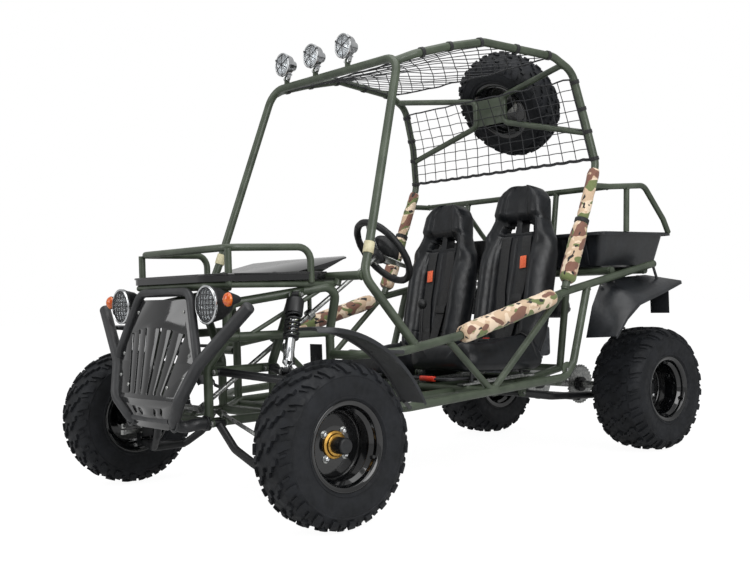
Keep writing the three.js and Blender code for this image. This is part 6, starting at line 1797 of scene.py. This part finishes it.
def upper_arm(side, label):
    tubes, piece = Tubing(), Piece(f"upper_arm_tubes_{label}")
    share = (shock_foot.x - upper_pivot[0]) / (upper_ball[0] - upper_pivot[0])
    x, y, z = upper_pivot
    pivots = {s: Vector((side * x, s * y, z)) for s in (1, -1)}
    (ball, foot), bar = mirrored([upper_ball, shock_foot], side), []
    for s in (1, -1):
        start, end = pivots[s], ball
        along = (end - start).normalized() * 7
        tubes.run([start + along, end - along], arm_tube)
        bar.append(start.lerp(end, share) - Vector((0, 0, arm_tube / 2)))
    tubes.run(bar, arm_tube - 2)
    piece.add(tubes.mesh(arm_paint, 24))
    for spot in (*pivots.values(), ball):
        eye(piece, spot, (0, 1, 0), eye_radius, eye_half, arm_paint)
    lug(piece, foot, front_axis * Vector((1, side, 1)), 26, (foot.x, foot.y, 455), arm_paint)
    return piece.fit(f"upper_arm_{label}", "black_steel", [f"upper_arm_{label}"])


def dress(finish, *names):
    for name in names:
        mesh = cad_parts[name].data
        for index in range(len(mesh.materials)):
            mesh.materials[index] = finish


# Each shock is a coil over damper: a black cup and a chromed rod above, a chromed tube below, and
# a black spring between them. The rear pair are the same in heavier wire, with more turns.
seat_above_foot = 126
rear_shock_foot = (320, 1952, 338)
# The coil's radius, wire, turns, room above it and travel; then the cup's depth and bore, and
# the half width of the foot's eye.
spring_sizes = {"front": (24, 4.5, 5.5, 56, 23.56, 78, 29.2, 9.6),
                "rear": (25, 5, 11.5, 28, 31.36, 80, 30.7, 12.4)}


def shock(side, label, end, top, foot, axis):
    top, foot, axis = Vector(top), Vector(foot), Vector(axis)
    flip = Vector((side, 1, 1))
    way, total = (foot - top).normalized(), (foot - top).length
    across = axis * Vector((1, side, 1))
    down = aimed(top * flip, way * flip, across)
    upper, lower = Piece(f"{end}_shock_upper_{label}"), Piece(f"{end}_shock_lower_{label}")
    coil_radius, wire_radius, curls, room, travel, reach, inner, eye_half = spring_sizes[end]
    seat_low = total - seat_above_foot
    cap = [(0, 9), (10, 9), (11, 18), (inner - 2, 18), (inner + 1.8, 24), (inner + 1.8, reach),
           (inner, reach), (inner, room), (8, room), (8, room + 12), (0, room + 12)]
    upper.lathe(cap, down, arm_paint, 36, 0.8)
    upper.lathe(collar_of(0, 6, 56, seat_low + 44), down, chrome, 20, 1)
    eye(upper, top * flip, across, 12, 12.4, arm_paint)
    seat_ring = [(6.6, seat_low), (coil_radius + 3.5, seat_low), (coil_radius + 3.5, seat_low + 5),
                 (19, seat_low + 9), (6.6, seat_low + 9)]
    lower.lathe(seat_ring, down, arm_paint, 40, 1.2)
    tube = [(6.6, seat_low + 6), (17.6, seat_low + 6), (17.6, total - 34), (16, total - 30),
            (6.6, total - 30)]
    lower.lathe(tube, down, chrome, 36, 1)
    base = [(0, total - 36), (19, total - 36), (19, total - 29), (9, total - 19), (9, total - 9),
            (0, total - 9)]
    lower.lathe(base, down, chrome, 32, 1.2)
    eye(lower, foot * flip, across, 12, eye_half, arm_paint, 8.4)
    upper.fit(f"{end}_shock_upper_{label}", "shock_chrome", [f"{end}_shock_rod_{label}"])
    lower.fit(f"{end}_shock_lower_{label}", "shock_chrome", [f"{end}_shock_tube_{label}"])
    coil, wire, steps = Piece(f"{end}_coil_{label}"), Tubing(), 24
    first, last = room + wire_radius + 0.4, seat_low - wire_radius - 0.4
    ring, count = circle(coil_radius, steps), round(curls * steps)
    wire.run(placed(down, [ring[i % steps] + Vector((0, 0, first + (last - first) * i / count))
                           for i in range(count + 1)]), wire_radius)
    coil.add(wire.mesh(arm_paint, 12, 2))
    replaced = [f"front_spring_{label}"] if end == "front" else []
    spring = coil.fit(f"{end}_shock_lower_{label}", "black_steel", replaced)
    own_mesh(spring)


for side, label in SIDES:
    lower_arm(side, label)
    upper_arm(side, label)
    shock(side, label, "front", shock_top, shock_foot, front_axis)
    shock(side, label, "rear", rear_shock_top, rear_shock_foot, (1, 0, 0))
    dress(arm_paint, f"upright_{label}")
    dress(zinc_plate, f"spindle_{label}", f"tie_rod_{label}")
dress(zinc_plate, "rack_bar")
dress(arm_paint, "brake_pedal", "throttle_pedal")

# The steering wheel has a soft black rim and a domed pad over three bright spokes. Its shaft runs
# down through a bearing ring to the pinion on the rack.
wheel_reach, grip_radius = 136, 14

# The grip's vinyl is matt black with a fine grain.
grip = surface("foam grip in black vinyl", (0x0c0d0f, 0x151719), 20, (0.4, 0.52), 10,
               [(1.4, 2.0, 0.12)], Specular_IOR_Level=0.4)


def steering():
    piece = Piece("steering_wheel_and_shaft")
    way = (wheel_centre - pinion_spot).normalized()
    turn = aimed(wheel_centre, way, (1, 0, 0))
    rim = Tubing()
    rim.run(placed(turn, circle(wheel_reach, 64)), grip_radius, ring=True)
    for i in range(64):
        rim.radii[i] = grip_radius - 0.9 * (0.5 + 0.5 * math.cos(2 * math.pi * i * 2 / 8))
    piece.add(rim.mesh(grip, 20, 2))
    pad = [(0, -22), (36, -22), (54, -12), (61.5, 6), (60, 24), (48, 39), (26, 48), (0, 49.5)]
    piece.lathe(pad, turn, grip, 48, 5, 4)
    piece.lathe([(8.6, -44), (26, -44), (34, -30), (34, -20), (8.6, -20)], turn, arm_paint, 36, 2)
    for i in range(3):
        a = -math.pi / 2 + (i - 1) * 2 * math.pi / 3
        out, wide = Vector((math.cos(a), math.sin(a), 0)), Vector((-math.sin(a), math.cos(a), 0))
        corners = []
        for r, half, z in ((30, 22, -26), (80, 15, -14), (wheel_reach - 4, 10, -2)):
            corners += [turn @ (out * r + wide * h + Vector((0, 0, z + lift)))
                        for h in (-half, half) for lift in (0, 4)]
        for start in (0, 4):
            piece.add(hull_of(corners[start:start + 8], 0.8), zinc_plate)
        for r in (62, 84, 104):
            spot = out * r + Vector((0, 0, -6.5 + (r - 62) * 0.07))
            rivet = [(0, 0), (5.5, 0), (5, 2), (0, 2.6)]
            piece.lathe(rivet, turn @ Matrix.Translation(spot), chrome, 18, 0.6)
    piece.add(rod(pinion_spot + way * 4, wheel_centre - way * 8, 9, 24), zinc_plate)
    teeth, radius = 12, 10.6
    n = teeth * 4
    gear = placed(aimed(pinion_spot, way), [circle(radius * (1 if i % 4 < 2 else 0.8), n, z)[i]
                                            for z in (-13, 13) for i in range(n)])
    faces = [tuple(range(n)), tuple(range(n, 2 * n))]
    faces += [(i, (i + 1) % n, n + (i + 1) % n, n + i) for i in range(n)]
    piece.add(closed(gear, faces), zinc_plate)
    return piece.fit("steering", "black_plastic", ["steering_wheel"])


def gear_lever():
    piece = Piece("gear_lever_and_knob")
    pivot, knob = Vector((0, 1005, 392)), Vector((0, 1036, 679))
    piece.add(rod(pivot, knob, 7, 20), arm_paint)
    eye(piece, pivot, (1, 0, 0), 12, 6.2, arm_paint)
    ball = [(0, -20), (11, -20), (18, -10), (21, 2), (17, 14), (8, 20), (0, 21)]
    piece.lathe(ball, aimed(knob, knob - pivot), black_plastic, 36, 4, 4)
    return piece.fit("gear_lever", "black_plastic", ["gear_lever"])


steering()
gear_lever()

# The swing arm carries the live rear axle, its chain wheel and its brake disc, and both rear
# wheels. It is welded of round tube and turns on bolts in the chassis, under the engine.
axle_spot = Vector((0, rear_axle_y, rear_wheel["radius"]))


def swing_arm():
    tubes, piece = Tubing(), Piece("swing_arm_tubes")
    bends = [(241, *swing_pivot), (300, 1500, 262), (300, 1794, 243), (300, *axle_spot.yz)]
    tubes.both(bends, 16, 80)
    tubes.run([(-300, 1690, 243), (300, 1690, 243)], 16)
    tubes.run([(-274, *swing_pivot), (274, *swing_pivot)], 16)
    piece.add(tubes.mesh(arm_paint, 24))
    for side in (1, -1):
        ring = collar_of(18.6, 38, -20, 20)
        piece.lathe(ring, aimed((side * 300, *axle_spot.yz), (1, 0, 0)), arm_paint, 40, 2)
        spots = mirrored([rear_shock_foot, (320, 1940, 300)], side)
        lug(piece, spots[0], (1, 0, 0), 26, spots[1], arm_paint)
    return piece.fit("swing_arm", "black_steel", ["swing_arm"])


def rear_axle():
    piece = Piece("rear_axle_and_rims")
    piece.add(rod(axle_spot - Vector((474, 0, 0)), axle_spot + Vector((474, 0, 0)), 17.5, 32, 2),
              zinc_plate)
    for side in (1, -1):
        spot = (side * rear_wheel["x"], *axle_spot.yz)
        rim_parts(piece, rear_wheel["rim_half"], 118, spot, side, 52)
        lie = facing(spot, side)
        hub = [(17.2, -96), (34, -96), (34, -22), (68, -14), (68, -8), (17.2, -8)]
        piece.lathe(hub, lie, cast_black, 44, 2)
        cap = [(0, -5), (30, -5), (30, 6), (24, 22), (0, 24)]
        piece.lathe(cap, lie, cast_black, 36, 2)
    sprocket, brake = (axle_spot + Vector((x, 0, 0)) for x in (120, -130))
    piece.lathe(collar_of(17.2, 84, -3, 3), aimed(sprocket, (1, 0, 0)), zinc_plate, 64)
    tooth = prism((-3, 3), ((-8, 82), (8, 82), (-3, 91.5), (3, 91.5)))
    piece.add(ringed(tooth, 32, zinc_plate), turn=Matrix.Translation(sprocket))
    piece.lathe(collar_of(17.2, 86, -3, 3), aimed(brake, (1, 0, 0)), zinc_plate, 64, 0.8)
    for spot in (sprocket, brake):
        piece.lathe(collar_of(17.2, 34, -16, 16), aimed(spot, (1, 0, 0)), arm_paint, 36, 2)
    return piece.fit("rear_axle", "bare_steel", ["rear_axle"])


swing_arm()
rear_axle()

# The engine is a horizontal crankcase in grey cast alloy with a finned barrel, a fan shroud on
# its right and a steel silencer across its rear, bolted to the chassis's cross tubes.
# Sand cast aluminium is dull grey, cloudy, and rough to the touch.
cast_alloy = surface("sand cast aluminium", (0x5d6064, 0x7b7e82), 26, (0.42, 0.6), 9,
                     [(1.8, 2.0, 0.18)], Metallic=0.85)


crank_spot, crank_size = (0, 1575, 490), (296, 246, 136)
barrel_x, barrel_y, fin_base, fin_pitch, fins = 40, 1560, 574, 13, 9
fan_spot, silencer_spot = (-190, 1570, 490), (0, 1800, 640)


def engine():
    piece = Piece("engine_castings")
    piece.add(block(crank_spot, crank_size, 14), cast_alloy)
    piece.add(block((0, 1575, 414), (208, 232, 16), 4), cast_alloy)
    for y in (1450, 1640):
        base = 361.8 if y < 1500 else 388.4
        piece.add(block((0, y, (base + 412) / 2), (206, 30, 412 - base + 12), 3), cast_alloy)
    for y in (1480, 1530, 1580, 1630, 1670):
        piece.add(block((0, y, 556), (276, 5, 18), 1.5), cast_alloy)
    piece.add(rod((barrel_x, barrel_y, 545), (barrel_x, barrel_y, 700), 44, 40, 3), cast_alloy)
    barrel = Matrix.Translation((barrel_x, barrel_y, 0))
    for i in range(fins):
        z = fin_base + i * fin_pitch
        piece.lathe(collar_of(40, 61, z, z + 3.5), barrel, cast_alloy, 48, 1)
    piece.add(block((barrel_x, barrel_y, 698), (84, 84, 13), 5), cast_alloy)
    fan = [(0, -48), (94, -48), (94, -12), (78, -1), (0, -1)]
    fan_turn = aimed(fan_spot, (-1, 0, 0))
    piece.lathe(fan, fan_turn, black_plastic, 56, 4, 4)
    for r in (22, 36, 50, 64):
        piece.lathe(collar_of(r, r + 5, -2, 0.4), fan_turn, arm_paint, 48, 0.8)
    can = [(0, -149), (42, -149), (51, -134), (51, 134), (42, 149), (0, 149)]
    piece.lathe(can, aimed(silencer_spot, (1, 0, 0)), arm_paint, 48, 5, 4)
    pipes = Tubing()
    pipes.run([(40, 1585, 630), (40, 1722, 630), (40, 1790, 640)], 14, 30)
    pipes.run([(120, 1800, 640), (138, 1850, 625)], 11)
    piece.add(pipes.mesh(zinc_plate, 18))
    carb = [(0, -30), (22, -30), (26, -18), (26, 20), (34, 26), (34, 58), (0, 58)]
    piece.lathe(carb, aimed((40, 1500, 640), (0, -1, 0)), black_plastic, 32, 3)
    return piece.fit("chassis", "engine_alloy", ["engine"])


engine()

# The spare wheel hangs behind the X brace's plate on a short stub, leaning back. It is a smaller
# tyre of the same rubber on a plain pressed disc.
spare_lean, spare_centre = 0.6, Vector((0, 1628, 1586))


def spare_wheel():
    piece = Piece("spare_wheel_on_stub")
    centre, axis = spare_centre, Vector((0, math.cos(spare_lean), math.sin(spare_lean)))
    right = Vector((1, 0, 0)).cross(axis)
    lay = Matrix((axis, right, axis.cross(right))).transposed().to_4x4()
    turn = Matrix.Translation(centre) @ lay
    tyre_parts(piece, spare_tyre, turn)
    disc = rim_outline(spare_tyre["rim_half"], 64)
    piece.lathe(disc, turn @ Matrix.Rotation(math.pi / 2, 4, "Y"), gloss_black, 64, 1.6, 2)
    reach = (1503.3 - centre.y) / axis.y
    piece.add(rod(centre + axis * (reach + 14), centre + axis * 8, 22, 28), arm_paint)
    piece.lathe(collar_of(0, 48, 0, 5), aimed(centre, axis, (1, 0, 0)), zinc_plate, 36, 1)
    for i in range(4):
        a = math.pi * (i / 2 + 0.25)
        spot = centre + axis * 4 + Vector((1, 0, 0)) * 34 * math.cos(a) + right * 34 * math.sin(a)
        hex_nut(spot, axis, 9, 9, chrome, piece)
    return piece.fit("chassis", "tyre_rubber", ["spare_wheel"])


spare_wheel()

# The luggage box is moulded in one piece of black plastic, with a wide rolled lip, ribbed walls
# and a grained floor. It lies on the rear frame's cross tubes.
box_rim = {"x": 550, "front": 1575, "rear": 2085, "z": 962, "lip": 26}
box_floor = {"x": 490, "front": 1625, "rear": 2035, "z": 812}
ribs, rib_pitch = 9, 108


def box_level(size, inset, rise):
    """One level of the box's wall: its half width, its front and rear, and its height."""
    return size["x"] - inset, size["front"] + inset, size["rear"] - inset, size["z"] + rise


def cargo_box():
    piece = Piece("cargo_box_moulding")
    rings = []
    r, f, lip = box_rim, box_floor, box_rim["lip"]
    levels = [box_level(r, 0.5, -14), box_level(r, 0, -4), box_level(r, 4, 0),
              box_level(r, lip - 3, 0), box_level(r, lip + 3, -5), box_level(f, 8, 12),
              box_level(f, 16, 5)]
    outer = [box_level(f, 14, 0), box_level(f, 2, 6), box_level(r, lip + 0.5, -8),
             box_level(r, lip - 1, -5), box_level(r, 5, -5), box_level(r, 4, -14)]
    for x, front, rear, z in levels + outer:
        ring = rounded_corners([(-x, front), (-x, rear), (x, rear), (x, front)], 34, 7)
        rings.append([Vector((u, v, z)) for u, v in ring])
    n, count = len(rings[0]), len(rings)
    points = [p for ring in rings for p in ring]
    faces = [tuple((len(levels) - 1) * n + j for j in range(n)),
             tuple(len(levels) * n + j for j in range(n))]
    for i in range(count):
        if i == len(levels) - 1:
            continue
        k = (i + 1) % count
        faces += [(i * n + j, i * n + (j + 1) % n, k * n + (j + 1) % n, k * n + j)
                  for j in range(n)]
    piece.add(closed(points, faces), fender_plastic)
    for i in range(ribs):
        x = (i - (ribs - 1) / 2) * rib_pitch
        for y0, y1, sign in ((1594, 1622, -1), (2066, 2038, 1)):
            rib = [(y + sign * lift, z) for y, z in ((y0, 936), (y1, 824)) for lift in (0, 7)]
            piece.add(prism((x - 9, x + 9), rib, 1.5), fender_plastic)
    return piece.fit("chassis", "gloss_panel", ["cargo_box"])


cargo_box()
